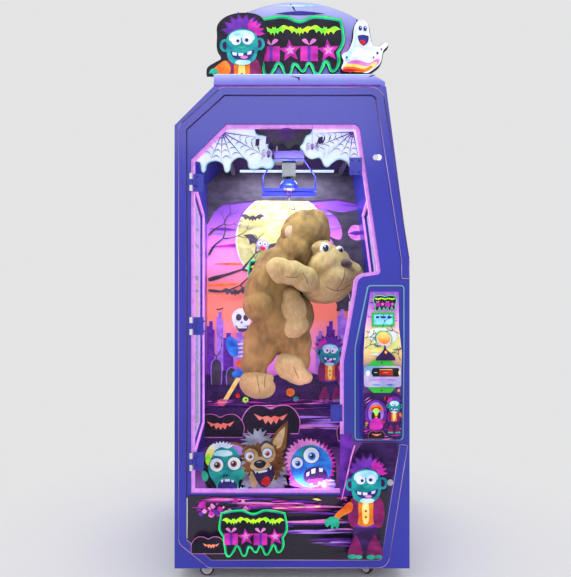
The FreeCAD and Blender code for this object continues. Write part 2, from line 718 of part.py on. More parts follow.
inlet_solid = join("inlet_solid", [inlet_body, inlet_flange])
inlet_recess = box("inlet_recess", (inlet_x - 11, in_rear, inlet_z - 7), (inlet_x + 11, rear + 5, inlet_z + 7))
cut("power_inlet", inlet_solid, inlet_recess)

# ---------------------------------------------------------------- control column
ctrl_toe = size("ctrl_toe", 30, "how far the control housing's foot stands off the fascia")
ctrl_nose = size("ctrl_nose", 57, "how far its nose stands off, under the button")
ctrl_brow = size("ctrl_brow", 10, "how far it stands off above the button")
ctrl_head = size("ctrl_head", 6, "how far its top stands off")
nose_z = size("nose_z", 991, "height of the nose")
brow_z = size("brow_z", 1093, "height where the button deck starts")
plate_wall = size("plate_wall", 1.5, "thickness of the printed control plate")
bead_wide = size("bead_wide", 5, "width of the bead round the control column")
plate_rim = size("plate_rim", 1, "rim of the housing left round the printed plate")
house_round = size("house_round", 6, "corner radius of the control housing")
house_reach = size("house_reach", 90, "depth of the block the housing is cut from")


def bead_outline(inset):
    """The outline of the bead round the control column, moved inwards."""
    return [
        (ctrl_left + inset, ctrl_low + inset), (ctrl_right_low - inset, ctrl_low + inset),
        (ctrl_right_high - inset, ctrl_knee), (ctrl_right_high - inset, ctrl_high - inset),
        (ctrl_top_left + inset, ctrl_high - inset), (ctrl_left + inset, ctrl_knee),
    ]


def house_outline(inset):
    """The outline of the control housing, moved inwards."""
    return [
        (house_left + inset, house_low + inset), (house_right - inset, house_low + inset),
        (house_right - inset, house_high - inset), (house_top_left + inset, house_high - inset),
        (house_left + inset, nose_z),
    ]


def ctrl_face(shift):
    """The front line of the control housing from foot to top in the Y-Z plane, moved forwards."""
    return [
        (front - ctrl_toe - shift, house_low), (front - ctrl_nose - shift * 1.1, nose_z),
        (front - ctrl_brow - shift * 1.1, brow_z), (front - ctrl_head - shift, house_high),
    ]


def ctrl_profile(label, shift, inset, back):
    """A block with the control housing's side profile, wider than the housing."""
    line = ctrl_face(dim(shift))
    line[0] = (line[0][0], house_low + inset)
    line[-1] = (line[-1][0], house_high - inset)
    return prism(label, "YZ", line + [(back, house_high - inset), (back, house_low + inset)],
                 ctrl_left, ctrl_right_high)


ctrl_block = overlap("ctrl_block", [
    prism("ctrl_front_shape", "XZ", house_outline(dim(0)), front - house_reach, front,
          rounds=[(house_outline(dim(0))[:4], house_round)]),
    ctrl_profile("ctrl_side_shape", 0, dim(0), front),
])
ctrl_hollow = overlap("ctrl_hollow", [
    prism("ctrl_inner_shape", "XZ", house_outline(sheet_wall), front - house_reach, front + 1),
    ctrl_profile("ctrl_inner_side", -sheet_wall, sheet_wall, front + 1),
])
deck_rise = brow_z - nose_z
deck_out = ctrl_nose - ctrl_brow
deck_hyp = root(deck_rise * deck_rise + deck_out * deck_out)
deck_ny = -deck_rise / deck_hyp
deck_nz = deck_out / deck_hyp
button_x = size("button_x", 381, "middle of the button")
button_z = size("button_z", 1046, "height of the button")
button_ring = size("button_ring", 37, "radius of the button's ring")
button_collar = size("button_collar", 31, "radius of the collar inside the ring")
button_cap = size("button_cap", 27, "radius of the button's dome")
button_rise = size("button_rise", 24, "how far the dome stands above the plate")
ring_rise = size("ring_rise", 6, "height of the button's ring")
collar_rise = size("collar_rise", 13, "height of the collar")
button_y = front - ctrl_brow - (brow_z - button_z) * deck_out / deck_rise
DECK_TURN = FreeCAD.Rotation(FreeCAD.Vector(0, 0, 1), FreeCAD.Vector(0, deck_ny.value, deck_nz.value))


def on_deck(distance):
    """The point on the button's axis at a distance above the bare button deck."""
    return (button_x, button_y + deck_ny * distance, button_z + deck_nz * distance)


button_way = rod("button_way", on_deck(dim(-30)), button_cap + play, 60, DECK_TURN)
plate_way = rod("plate_way", on_deck(dim(-30)), button_cap + play, 60, DECK_TURN)
cut("control_housing", cut("ctrl_shell", ctrl_block, ctrl_hollow), button_way)
plate_line = ctrl_face(plate_wall) + ctrl_face(dim(0))[::-1]
plate_band = prism("plate_band", "YZ", plate_line, ctrl_left, ctrl_right_high)
plate_shape = prism("plate_shape", "XZ", house_outline(plate_rim), front - house_reach, front,
                    rounds=[(house_outline(plate_rim)[:4], house_round - plate_rim)])
cut("control_plate", overlap("plate_blank", [plate_band, plate_shape]), plate_way)
bead_corners = (0, 1, 3, 4)
bead_round = size("bead_round", 16, "outer corner radius of the bead")
bead_outer = prism("bead_outer", "XZ", bead_outline(dim(0)), front - bead_wide, front,
                   rounds=[([bead_outline(dim(0))[index]], bead_round) for index in bead_corners])
bead_inner = prism("bead_inner", "XZ", bead_outline(bead_wide), front - bead_wide - 1, front + 1,
                   rounds=[([bead_outline(bead_wide)[index]], bead_round - bead_wide) for index in bead_corners])
cut("control_trim", bead_outer, bead_inner)

ring_blank = join("ring_blank", [
    rod("ring_flange", on_deck(plate_wall), button_ring, ring_rise, DECK_TURN),
    rod("ring_collar", on_deck(plate_wall), button_collar, collar_rise, DECK_TURN),
])
ring_bore = rod("ring_bore", on_deck(dim(-1)), button_cap + play, 40, DECK_TURN)
cut("button_ring", ring_blank, ring_bore)
cap_rise = size("cap_rise", 14, "height of the dome's rounded part")
cap_ball = (button_cap * button_cap + cap_rise * cap_rise) / (2 * cap_rise)
cap_top = plate_wall + button_rise
cap_stem = size("cap_stem", 34, "length of the button cap")
overlap("button_dome", [
    rod("cap_rod", on_deck(cap_top - cap_stem), button_cap, cap_stem, DECK_TURN),
    ball("cap_ball", on_deck(cap_top - cap_ball), cap_ball),
])

ctrl_mask = ctrl_profile("ctrl_mask", plate_wall, dim(0), front + 1)
bezel_low = size("bezel_low", 1099, "floor to the display bezel")
bezel_high = size("bezel_high", 1158, "floor to the top of the display bezel")
bezel_x0 = size("bezel_x0", 336, "left edge of the display bezel")
bezel_x1 = size("bezel_x1", 432, "right edge of the display bezel")
bezel_lip = size("bezel_lip", 9, "width of the bezel round the screen")
bezel_front = front - 20
bezel_blank = cut("bezel_blank", box("bezel_box", (bezel_x0, bezel_front, bezel_low), (bezel_x1, front, bezel_high)),
                  ctrl_mask)
screen_low = (bezel_x0 + bezel_lip, bezel_front + 2, bezel_low + bezel_lip)
screen_high = (bezel_x1 - bezel_lip, bezel_front + 5, bezel_high - bezel_lip)
screen_pocket = box("screen_pocket", (screen_low[0], bezel_front - 1, screen_low[2]), screen_high)
group("display", [cut("display_bezel", bezel_blank, screen_pocket), box("display_screen", screen_low, screen_high)])

reader_x0 = size("reader_x0", 293, "left edge of the card reader")
reader_x1 = size("reader_x1", 446, "right edge of the card reader")
reader_low = size("reader_low", 851, "floor to the card reader")
reader_high = size("reader_high", 938, "floor to the top of the card reader")
reader_deep = size("reader_deep", 10, "depth of the card reader")
bracket_x0 = size("bracket_x0", 311, "left edge of the reader bracket")
bracket_x1 = size("bracket_x1", 426, "right edge of the reader bracket")
bracket_low = size("bracket_low", 826, "floor to the reader bracket")
bracket_high = size("bracket_high", 960, "floor to the top of the reader bracket")
bracket_cut = size("bracket_cut", 22, "corner cuts of the reader bracket")
reader_back = front - front_reach + reader_deep
cut("reader_bracket", prism("bracket_blank", "XZ", [
    (bracket_x0, bracket_low + bracket_cut), (bracket_x0 + bracket_cut, bracket_low),
    (bracket_x1 - bracket_cut, bracket_low), (bracket_x1, bracket_low + bracket_cut),
    (bracket_x1, bracket_high - bracket_cut), (bracket_x1 - bracket_cut, bracket_high),
    (bracket_x0 + bracket_cut, bracket_high), (bracket_x0, bracket_high - bracket_cut),
], reader_back, front), ctrl_mask)
reader_outline = rectangle(reader_x0, reader_low, reader_x1, reader_high)
prism("card_reader", "XZ", reader_outline, front - front_reach, reader_back, rounds=[(reader_outline, 12)])

# ---------------------------------------------------------------- topper
topper_left = size("topper_left", -334, "left end of the topper's base")
topper_right = size("topper_right", 396, "right end of the topper's base")
topper_deep = size("topper_deep", 100, "depth of the topper's base")
topper_step = size("topper_step", 54, "height of the topper's base")
stone_left = size("stone_left", -215, "left edge of the arched board")
stone_right = size("stone_right", 290, "right edge of the arched board")
topper_rise = size("topper_rise", 398, "roof to the top of the arch")
topper_top = cab_top + topper_rise
arch_radius = size("arch_radius", 520, "radius of the arch")
stone_wall = size("stone_wall", 12, "thickness of each topper board")
stone_rim = size("stone_rim", 8, "how far the backing shows round the stone board")

topper_front = front + 2
topper_foot = cab_top + topper_step
arch_x = (stone_left + stone_right) / 2 - 18
prism("topper_base", "XZ", [
    (topper_left, cab_top), (topper_right, cab_top), (topper_right, cab_top + topper_step / 2.6),
    (topper_right - topper_step, topper_foot), (topper_left, topper_foot),
], topper_front, topper_front + topper_deep)


def arch(label, inset, y):
    """One board of the topper: straight sides and a round top."""
    drum = rod(label + "_drum", (arch_x, y, topper_top - arch_radius), arch_radius - inset, stone_wall, "Y")
    slab = box(label + "_slab", (stone_left + inset, y, topper_foot),
               (stone_right - inset, y + stone_wall, topper_top))
    return overlap(label, [drum, slab])


group("topper_boards", [
    arch("topper_backing", dim(0), topper_front + 60),
    arch("topper_stone", stone_rim, topper_front + 60 - stone_wall),
])
sign_outline = rectangle(-162, topper_foot, 230, 2432)
sign_y = topper_front + 60 - 2 * stone_wall
prism("topper_sign", "XZ", sign_outline, sign_y, sign_y + stone_wall, rounds=[(sign_outline[2:], 60)])
figure_left = [(-311, topper_foot), (-146, topper_foot), (-146, 2437), (-275, 2437), (-311, 2330)]
figure_right = [(200, topper_foot), (396, topper_foot), (412, 2235), (350, 2300), (335, 2414), (225, 2414)]
group("topper_figures", [
    prism("figure_left", "XZ", figure_left, topper_front + 8, topper_front + 24, rounds=[(figure_left[2:4], 40)]),
    prism("figure_right", "XZ", figure_right, topper_front + 8, topper_front + 24, rounds=[(figure_right[4:], 30)]),
])

# ---------------------------------------------------------------- cut-outs behind the glass
cutout_wall = size("cutout_wall", 5, "thickness of the decorative cut-outs")
web_y = in_front + 14
web_high = win_high - 6


def web_piece(name, outline):
    return prism(name, "XZ", outline, web_y, web_y + cutout_wall)


group("web_cutouts", [
    web_piece("web_left", [
        (win_left + 12, 1800), (win_left + 70, 1770), (win_left + 110, 1790), (win_left + 180, 1762),
        (win_left + 230, 1800), (win_left + 300, 1795), (win_left + 335, 1850), (win_left + 348, web_high),
        (win_left + win_cut, web_high), (win_left + 12, win_high - win_cut)]),
    web_piece("web_right", [
        (30, web_high), (48, 1850), (110, 1795), (170, 1805), (225, 1760), (262, 1790), (298, 1765),
        (300, 1830), (272, web_high)]),
    web_piece("web_centre", [(-68, web_high), (-62, 1880), (-20, 1860), (16, 1880), (24, web_high)]),
])
standees = []
for name, x0, x1, top, gap in (("standee_left", -387, -258, 604, 30), ("standee_middle", -256, -18, 704, 30),
                               ("standee_right", -8, 196, 652, 30)):
    outline = rectangle(x0, deck_height, x1, top)
    standees.append(prism(name, "XZ", outline, in_front + gap, in_front + gap + 30, rounds=[(outline[2:], 50)]))
group("floor_standees", standees)

# ---------------------------------------------------------------- gantry
gantry_depth = size("gantry_depth", 450, "front face to the middle of the gantry at rest")
rail_apart = size("rail_apart", 320, "middle to each rail")
rail_wide = size("rail_wide", 20, "width of a rail")
rail_high = size("rail_high", 26, "height of a rail")
beam_high = size("beam_high", 12, "height of the cross beam")
beam_deep = size("beam_deep", 30, "depth of the cross beam")
trolley_half = size("trolley_half", 75, "half width of the trolley")
trolley_high = size("trolley_high", 38, "height of the trolley box")
trolley_deep = size("trolley_deep", 55, "half depth of the trolley")
truck_half = size("truck_half", 45, "half length of the beam's end trucks")
cheek = size("cheek", 6, "thickness of the guiding cheeks")
rail_start = size("rail_start", 160, "front face to the front ends of the rails")
rail_end = size("rail_end", 860, "front face to the rear ends of the rails")

gantry_y = front + gantry_depth
rail_low = ceiling_height - rail_high
beam_top = rail_low - play
beam_low = beam_top - beam_high
group("gantry_rails", [
    box("rail" + name, (x - rail_wide / 2, front + rail_start, rail_low),
        (x + rail_wide / 2, front + rail_end, ceiling_height))
    for name, x in (("_left", -rail_apart), ("_right", rail_apart))
])
beam_parts = [box("beam_bar", (-rail_apart - 22, gantry_y - beam_deep / 2, beam_low),
                  (rail_apart + 22, gantry_y + beam_deep / 2, beam_top))]
for name, x in (("left", -rail_apart), ("right", rail_apart)):
    beam_parts.append(box("truck_" + name, (x - rail_wide / 2 - play - cheek, gantry_y - truck_half, beam_low),
                          (x + rail_wide / 2 + play + cheek, gantry_y + truck_half, beam_top)))
    for end, inner in (("a", x - rail_wide / 2 - play - cheek), ("b", x + rail_wide / 2 + play)):
        beam_parts.append(box("truck_cheek_" + name + end, (inner, gantry_y - truck_half, beam_top),
                              (inner + cheek, gantry_y + truck_half, beam_top + rail_high / 2)))
join("cross_beam", beam_parts)

post_radius = size("post_radius", 5, "radius of the lift's guide posts")
post_half = size("post_half", 62, "middle to each guide post")
trolley_top = beam_low - play
trolley_low = trolley_top - trolley_high
post_y = gantry_y - 32
trolley_parts = [box("trolley_box", (-trolley_half, gantry_y - trolley_deep, trolley_low),
                     (trolley_half, gantry_y + trolley_deep, trolley_top))]
for name, y in (("front", gantry_y - beam_deep / 2 - play - cheek), ("rear", gantry_y + beam_deep / 2 + play)):
    trolley_parts.append(box("trolley_cheek_" + name, (-40, y, trolley_top), (40, y + cheek, beam_top)))
trolley_bores = join("trolley_bores", [
    rod("trolley_bore" + name, (x, post_y, trolley_low - 1), post_radius + fit, trolley_high + 2)
    for name, x in (("_left", -post_half), ("_right", post_half))
])
cut("trolley", join("trolley_solid", trolley_parts), trolley_bores)
motor_radius = size("motor_radius", 14, "radius of the trolley motor")
join("trolley_motor", [
    rod("motor_can", (-50, gantry_y + trolley_deep - motor_radius - 4, trolley_top + motor_radius),
        motor_radius, 62, "X"),
    box("motor_gearbox", (12, gantry_y + trolley_deep - 2 * motor_radius - 5, trolley_top),
        (44, gantry_y + trolley_deep - 2, trolley_top + 2 * motor_radius)),
])

# ---------------------------------------------------------------- lifting gripper
bar_half = size("bar_half", 138, "half length of the crossbar")
bar_top = size("bar_top", 1795, "floor to the top of the crossbar")
bar_high = size("bar_high", 43, "height of the crossbar over both rails")
bar_rail = size("bar_rail", 17, "height of one crossbar rail")
yoke_rod = size("yoke_rod", 4, "radius of the yoke's rods")
dome_radius = size("dome_radius", 47, "radius of the gripper's dome")

link_high = 7
link_top = trolley_low - 3
link_low = link_top - link_high
bar_low = bar_top - bar_high
bar_front = gantry_y - 52
bar_back = gantry_y - 36
knee_z = bar_top + 60
rod_y = (bar_front + bar_back) / 2
yoke_parts = [box("yoke_link", (-trolley_half - 4, rod_y - 7, link_low), (trolley_half + 4, post_y + 10, link_top))]
for name, turn in (("left", -1), ("right", 1)):
    knee = (turn * (bar_half - 5), rod_y, knee_z)
    yoke_parts.append(strut("yoke_slant_" + name, (turn * trolley_half, rod_y, link_low + 3), knee, yoke_rod))
    yoke_parts.append(ball("yoke_knee_" + name, knee, yoke_rod))
    yoke_parts.append(rod("yoke_drop_" + name, (turn * (bar_half - 5), rod_y, bar_top), yoke_rod, knee_z - bar_top))
join("lift_yoke", yoke_parts)
post_top = ceiling_height - 8
lift_pins = [
    rod("post" + name, (x, post_y, link_top), post_radius, post_top - link_top)
    for name, x in (("_left", -post_half), ("_right", post_half))
]
join("gripper_crossbar", [
    box("bar_upper", (-bar_half, bar_front, bar_top - bar_rail), (bar_half, bar_back, bar_top)),
    box("bar_lower", (-bar_half, bar_front, bar_low), (bar_half, bar_back, bar_low + bar_rail)),
    box("bar_web", (-bar_half + 12, bar_front + 5, bar_low + bar_rail), (bar_half - 12, bar_back - 3, bar_top - bar_rail)),
])
dome_z = bar_top + 18
dome_y = bar_back + dome_radius + 2
dome_low = bar_low + 8
overlap("gripper_dome", [
    ball("dome_ball", (0, dome_y, dome_z), dome_radius),
    box("dome_cutoff", (-dome_radius, bar_back, dome_low), (dome_radius, dome_y + dome_radius, dome_z + dome_radius)),
])
box("gripper_drive", (-34, bar_back + 6, dome_z + dome_radius), (34, gantry_y + 34, link_low))
prong_radius = size("prong_radius", 2.5, "radius of a prong")
prong_half = size("prong_half", 18, "middle to each prong's pivot")
prong_y = bar_front - 6
prong_top = bar_top - 8
clip_z = size("clip_z", 1748, "height of the string's clip")
prong_tip = clip_z + 12
pivot_plate = box("pivot_plate", (-prong_half - 8, bar_front - 1.5, prong_top - 6),
                  (prong_half + 8, bar_front, prong_top + 6))
lift_pins.append(pivot_plate)
for name, turn in (("_left", -1), ("_right", 1)):
    lift_pins.append(rod("prong_pin" + name, (turn * prong_half, prong_y - 4, prong_top), 2,
                         bar_front - 1.5 - prong_y + 4, "Y"))
group("lift_posts_and_pins", lift_pins)
for name, turn in (("left", -1), ("right", 1)):
    eye = rod("prong_eye_" + name, (turn * prong_half, prong_y - 3, prong_top), 5, 6, "Y")
    arm = strut("prong_arm_" + name, (turn * prong_half, prong_y, prong_top), (turn * 6, prong_y, prong_tip),
                prong_radius)
    prong_bore = rod("prong_bore_" + name, (turn * prong_half, prong_y - 10, prong_top), 2 + fit, 20, "Y")
    cut("gripper_prong_" + name, join("prong_solid_" + name, [eye, arm]), prong_bore)

# ---------------------------------------------------------------- prize
string_radius = size("string_radius", 1.5, "radius of the prize's string")
string_long = size("string_long", 110, "length of the prize's string")
prize_top = size("prize_top", 1706, "floor to the top of the plush prize")
prize_foot = size("prize_foot", 724, "floor to the soles of the plush prize")
clip_radius = size("clip_radius", 4, "radius of the string's clip")
string_gap = size("string_gap", 4, "gap between the string's end and the plush")
clip = rod("clip_body", (-6, prong_y, clip_z), clip_radius, 12, "X")
string_low = clip_z - clip_radius - string_long + string_gap
group("prize_string", [clip, rod("string_line", (0, prong_y, string_low), string_radius, string_long - string_gap)])

plush_y = prong_y + 20
neck_z = clip_z - clip_radius - string_long
plush_parts = [
    ball("plush_back", (20, plush_y + 0, neck_z - 168), 170),
    ball("plush_belly", (0, plush_y, 1270), 190),
    ball("plush_hip", (-20, plush_y, 1080), 170),
    ball("plush_head", (125, plush_y, prize_top - 148), 148),
    ball("plush_muzzle", (283, plush_y, 1470), 100),
]
for name, side_y in (("near", plush_y - 95), ("far", plush_y + 95)):
    plush_parts.append(rod("plush_leg_" + name, (-60, side_y, prize_foot), 85, 330))
    plush_parts.append(rod("plush_foot_" + name, (-60, side_y, prize_foot + 62), 62, 170, "X"))
    plush_parts.append(rod("plush_arm_" + name, (60, side_y, 1380), 62, 230, "X"))
plush_parts.append(ball("plush_rump", (-108, plush_y, 1130), 150))
join("prize_plush", plush_parts)

# ---------------------------------------------------------------- casters
wheel_radius = size("wheel_radius", 31.5, "radius of a caster wheel")
wheel_wide = size("wheel_wide", 24, "width of a caster wheel")
tyre_wall = size("tyre_wall", 8, "thickness of a caster's tyre")
axle_radius = size("axle_radius", 4, "radius of a caster's axle")
caster_trail = size("caster_trail", 22, "swivel axis to the wheel's axle")
caster_x = size("caster_x", 350, "middle to each caster's swivel axis")
caster_y = size("caster_y", 85, "front or rear face to the casters' swivel axes")
plate_thick = size("plate_thick", 4, "thickness of a caster's top plate")
plate_long = size("plate_long", 90, "caster plate across the machine")
plate_deep = size("plate_deep", 64, "caster plate along the machine")
fork_wall = size("fork_wall", 3, "thickness of a fork's cheek")
swivel_gap = size("swivel_gap", 0.4, "gap in a caster's swivel bearing")

hub_radius = wheel_radius - tyre_wall
wheel_half = wheel_wide / 2
fork_top = caster_height - plate_thick - 6 - swivel_gap
CASTERS = [
    ("front_left", -1, front + caster_y, 90), ("front_right", 1, front + caster_y, 45),
    ("rear_left", -1, rear - caster_y, 0), ("rear_right", 1, rear - caster_y, -20),
]


def caster_fork(name):
    """A fork for a swivel axis at the origin: crown, stem, two cheeks and the riveted axle."""
    cheek_x = wheel_half + 1.5
    solids = [
        rod(name + "_crown", (0, 0, fork_top - 4), 22, 4),
        rod(name + "_stem", (0, 0, fork_top), 6, caster_height - plate_thick - fork_top - 1),
        rod(name + "_axle", (-cheek_x - fork_wall, caster_trail, wheel_radius), axle_radius,
            2 * (cheek_x + fork_wall), "X"),
    ]
    for end, x in (("_l", -cheek_x - fork_wall), ("_r", cheek_x)):
        solids.append(box(name + "_cheek" + end, (x, -10, wheel_radius + 22), (x + fork_wall, caster_trail + 8, fork_top)))
        solids.append(box(name + "_leg" + end, (x, caster_trail - 8, wheel_radius - 8),
                          (x + fork_wall, caster_trail + 8, wheel_radius + 22)))
    return join(name, solids)


def caster_wheel(name):
    """A tyre with rounded shoulders on a hub, on an axle along X at the trail distance."""
    shoulder_cut = 5
    tyre = turned(name + "_tyre", "XZ", [
        (-wheel_half, hub_radius), (wheel_half, hub_radius), (wheel_half, wheel_radius - shoulder_cut),
        (wheel_half - shoulder_cut, wheel_radius), (shoulder_cut - wheel_half, wheel_radius),
        (-wheel_half, wheel_radius - shoulder_cut)], "H_Axis")
    hub = turned(name + "_hub", "XZ", [
        (-wheel_half, axle_radius + fit), (wheel_half, axle_radius + fit), (wheel_half, hub_radius),
        (-wheel_half, hub_radius)], "H_Axis")
    return tyre, hub


caster_plates = []
for name, turn, y, yaw in CASTERS:
    x = turn * caster_x
    sine = math.sin(math.radians(yaw))
    cosine = math.cos(math.radians(yaw))
    fork = caster_fork("caster_fork_" + name)
    fork.Placement.Rotation = FreeCAD.Rotation(FreeCAD.Vector(0, 0, 1), yaw)
    place(fork, (x, y, 0))
    rolling = caster_wheel("caster_" + name)
    for solid in rolling:
        solid.Placement.Rotation = FreeCAD.Rotation(FreeCAD.Vector(0, 0, 1), yaw)
        place(solid, (x - sine * caster_trail, y + cosine * caster_trail, wheel_radius))
    group("caster_wheel_" + name, list(rolling))
    plate = box("caster_plate_" + name, (x - plate_long / 2, y - plate_deep / 2, caster_height - plate_thick),
                (x + plate_long / 2, y + plate_deep / 2, caster_height))
    race = rod("caster_race_" + name, (x, y, fork_top + swivel_gap), 20, caster_height - plate_thick - fork_top - swivel_gap)
    race_bore = rod("caster_bore_" + name, (x, y, fork_top - 1), 6 + fit, caster_height - plate_thick - fork_top)
    caster_plates.append(cut("caster_mount_" + name, join("caster_head_" + name, [plate, race]), race_bore))
group("caster_plates", caster_plates)

# ---------------------------------------------------------------- electrics on the base floor
floor_top = frame_top + board
shelf_y = in_rear - 230
power_supply = box("power_supply", (-200, shelf_y, floor_top), (15, shelf_y + 110, floor_top + 50))
control_board = join("control_board", [box("board_sheet", (70, shelf_y, floor_top + 12), (230, shelf_y + 110, floor_top + 14))] + [
    rod("board_post" + str(index), (x, y, floor_top), 4, 12)
    for index, (x, y) in enumerate([(80, shelf_y + 10), (220, shelf_y + 10), (80, shelf_y + 100), (220, shelf_y + 100)])
])
group("electronics", [power_supply, control_board])

NODES = [
    "base_frame", "base_floor", "prize_deck", "left_side_panel", "right_side_panel", "roof_panel",
    "rear_panel", "rear_door", "rear_latch", "power_inlet", "front_fascia", "trim_band",
    "side_glasses", "led_profiles", "backdrop_panel", "ceiling_panel", "control_bay_cover",
    "web_cutouts", "floor_standees", "door_glass", "door_clamp_plates", "fixed_hinge_parts",
    "glass_door_lock", "lower_door", "lower_door_lock", "control_housing", "control_plate",
    "control_trim", "display", "button_ring", "button_dome", "reader_bracket", "card_reader",
    "topper_base", "topper_boards", "topper_sign", "topper_figures", "gantry_rails", "cross_beam",
    "trolley", "trolley_motor", "lift_yoke", "lift_posts_and_pins", "gripper_crossbar",
    "gripper_dome", "gripper_drive", "gripper_prong_left", "gripper_prong_right", "prize_string",
    "prize_plush", "caster_plates", "electronics",
] + [kind + name for kind in ("caster_fork_", "caster_wheel_") for name, _, _, _ in CASTERS]


# ---------------------------------------------------------------- checks and files
TOLERANCE = 0.001


def check_and_write(nodes):
    """Stop on a failed feature or a bad shape, then write one STEP file for each node."""
    for thing in doc.Objects:
        if "Invalid" in thing.State or "Error" in thing.State:
            raise RuntimeError("not built: " + thing.Label + " " + str(thing.State))
    os.makedirs("parts", exist_ok=True)
    for label in nodes:
        shape = doc.getObjectsByLabel(label)[0].Shape
        if shape.isNull() or not shape.isValid() or not shape.Solids:
            raise RuntimeError("bad shape: " + label)
        shape.exportStep("parts/" + label + ".step")
        print(label, len(shape.Solids), round(shape.Volume / 1000, 1))


doc.recompute()
check_and_write(NODES)
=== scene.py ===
import math
import random

import bmesh
import bpy
from mathutils import Matrix, Vector
from mathutils.bvhtree import BVHTree


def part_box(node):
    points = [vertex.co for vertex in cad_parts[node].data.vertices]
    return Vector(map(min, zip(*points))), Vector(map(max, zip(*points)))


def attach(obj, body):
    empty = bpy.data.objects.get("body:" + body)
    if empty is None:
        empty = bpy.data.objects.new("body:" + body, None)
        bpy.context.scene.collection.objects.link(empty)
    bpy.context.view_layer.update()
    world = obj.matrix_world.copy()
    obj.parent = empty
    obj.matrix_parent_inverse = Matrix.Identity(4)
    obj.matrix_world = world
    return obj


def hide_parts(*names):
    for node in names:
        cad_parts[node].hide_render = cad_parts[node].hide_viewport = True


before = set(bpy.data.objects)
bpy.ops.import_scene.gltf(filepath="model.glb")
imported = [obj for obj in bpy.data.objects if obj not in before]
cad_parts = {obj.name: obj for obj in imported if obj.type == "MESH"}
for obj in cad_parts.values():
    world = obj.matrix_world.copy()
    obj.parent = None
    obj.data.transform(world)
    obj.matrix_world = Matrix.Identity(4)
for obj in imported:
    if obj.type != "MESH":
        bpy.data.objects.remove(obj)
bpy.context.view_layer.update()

# A giant-prize crane machine round its imported frame: materials for every frame part, printed art,
# cut-out figures, the plush prize, and a plain studio. Metres, +X right, +Y back, +Z up.

bl_info = {
    "name": "Prize Crane",
    "version": (1, 0, 0),
    "blender": (4, 5, 0),
    "location": "View3D > Sidebar > Prize Crane",
    "description": "Builds the looks of a giant-prize crane machine on its packed frame",
    "category": "Add Mesh",
}

MM = 0.001
STUDIO_TONE = (0.78, 0.78, 0.79)
CAMERA_DISTANCE = 2.1    # metres in front of the cabinet
CAMERA_SIDE = -0.077
CAMERA_HEIGHT = 1.127
CAMERA_LENS = 30.8
CAMERA_SHIFT = (0.020, 0.0545)
FLOOR_NEAR = 0.75    # metres from the middle, where the paint starts to melt into the backdrop
FLOOR_FAR = 1.9
FLOOR_HALF = 30.0
CLAMP_FACE = -477.2    # front of the door clamp plates, in millimetres
LAMP_COUNT = 46
LAMP_PITCH = 0.030
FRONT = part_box("front_fascia")[0][1]


# ---------------------------------------------------------------- finishes
def new_finish(name, color, roughness=0.5, metallic=0.0, **sockets):
    """A node material with its own shader settings, and the parts that its texture joins on to."""
    material = bpy.data.materials.new(name)
    material.use_nodes = True
    nodes = material.node_tree.nodes
    shader = nodes["Principled BSDF"]
    shader.inputs["Base Color"].default_value = (*color, 1.0)
    shader.inputs["Roughness"].default_value = roughness
    shader.inputs["Metallic"].default_value = metallic
    for socket, value in sockets.items():
        shader.inputs[socket.replace("_", " ")].default_value = value
    return material, nodes, material.node_tree.links, shader


def spot_noise(nodes, links, scale, detail=3.0, stretch=(1, 1, 1)):
    """Noise on the piece's own coordinates, scale in cycles a metre."""
    place = nodes.new("ShaderNodeTexCoord")
    mapping = nodes.new("ShaderNodeMapping")
    mapping.inputs["Scale"].default_value = stretch
    noise = nodes.new("ShaderNodeTexNoise")
    noise.inputs["Scale"].default_value = scale
    noise.inputs["Detail"].default_value = detail
    links.new(place.outputs["Object"], mapping.inputs["Vector"])
    links.new(mapping.outputs["Vector"], noise.inputs["Vector"])
    return noise


def ramp(nodes, links, source, stops):
    """A colour ramp with its stops, fed by a value."""
    band = nodes.new("ShaderNodeValToRGB")
    elements = band.color_ramp.elements
    for _ in stops[2:]:
        elements.new(0.5)
    for element, (position, color) in zip(elements, stops):
        element.position = position
        element.color = (*color, 1.0)
    links.new(source, band.inputs["Fac"])
    return band


def add_bump(nodes, links, shader, source, strength, distance):
    bump = nodes.new("ShaderNodeBump")
    bump.inputs["Strength"].default_value = strength
    bump.inputs["Distance"].default_value = distance
    links.new(source, bump.inputs["Height"])
    links.new(bump.outputs["Normal"], shader.inputs["Normal"])


def add_roughness(nodes, links, shader, source, low, high):
    spread = nodes.new("ShaderNodeMapRange")
    spread.inputs["To Min"].default_value = low
    spread.inputs["To Max"].default_value = high
    links.new(source, spread.inputs["Value"])
    links.new(spread.outputs["Result"], shader.inputs["Roughness"])


def shade(color, factor):
    return tuple(min(1.0, channel * factor) for channel in color)


def coated(name, color, roughness=0.35, metallic=0.0, grain=60.0, drift=0.18, bump=0.05,
           stretch=(1, 1, 1), **sockets):
    """A surface whose colour drifts, whose gloss varies and which has a fine relief."""
    material, nodes, links, shader = new_finish(name, color, roughness, metallic, **sockets)
    broad = spot_noise(nodes, links, 2.3, 4.0)
    band = ramp(nodes, links, broad.outputs["Fac"],
                [(0.3, shade(color, 1 - drift)), (0.7, shade(color, 1 + drift))])
    links.new(band.outputs["Color"], shader.inputs["Base Color"])
    fine = spot_noise(nodes, links, grain, 6.0, stretch)
    add_roughness(nodes, links, shader, fine.outputs["Fac"], roughness * 0.75, roughness * 1.25)
    add_bump(nodes, links, shader, fine.outputs["Fac"], bump, 0.001)
    return material


def along_axis(nodes, links, axis, low, high):
    """0 to 1 along one of the piece's axes between two places."""
    place = nodes.new("ShaderNodeTexCoord")
    split = nodes.new("ShaderNodeSeparateXYZ")
    spread = nodes.new("ShaderNodeMapRange")
    spread.inputs["From Min"].default_value = low
    spread.inputs["From Max"].default_value = high
    links.new(place.outputs["Object"], split.inputs["Vector"])
    links.new(split.outputs[axis], spread.inputs["Value"])
    return spread.outputs["Result"]


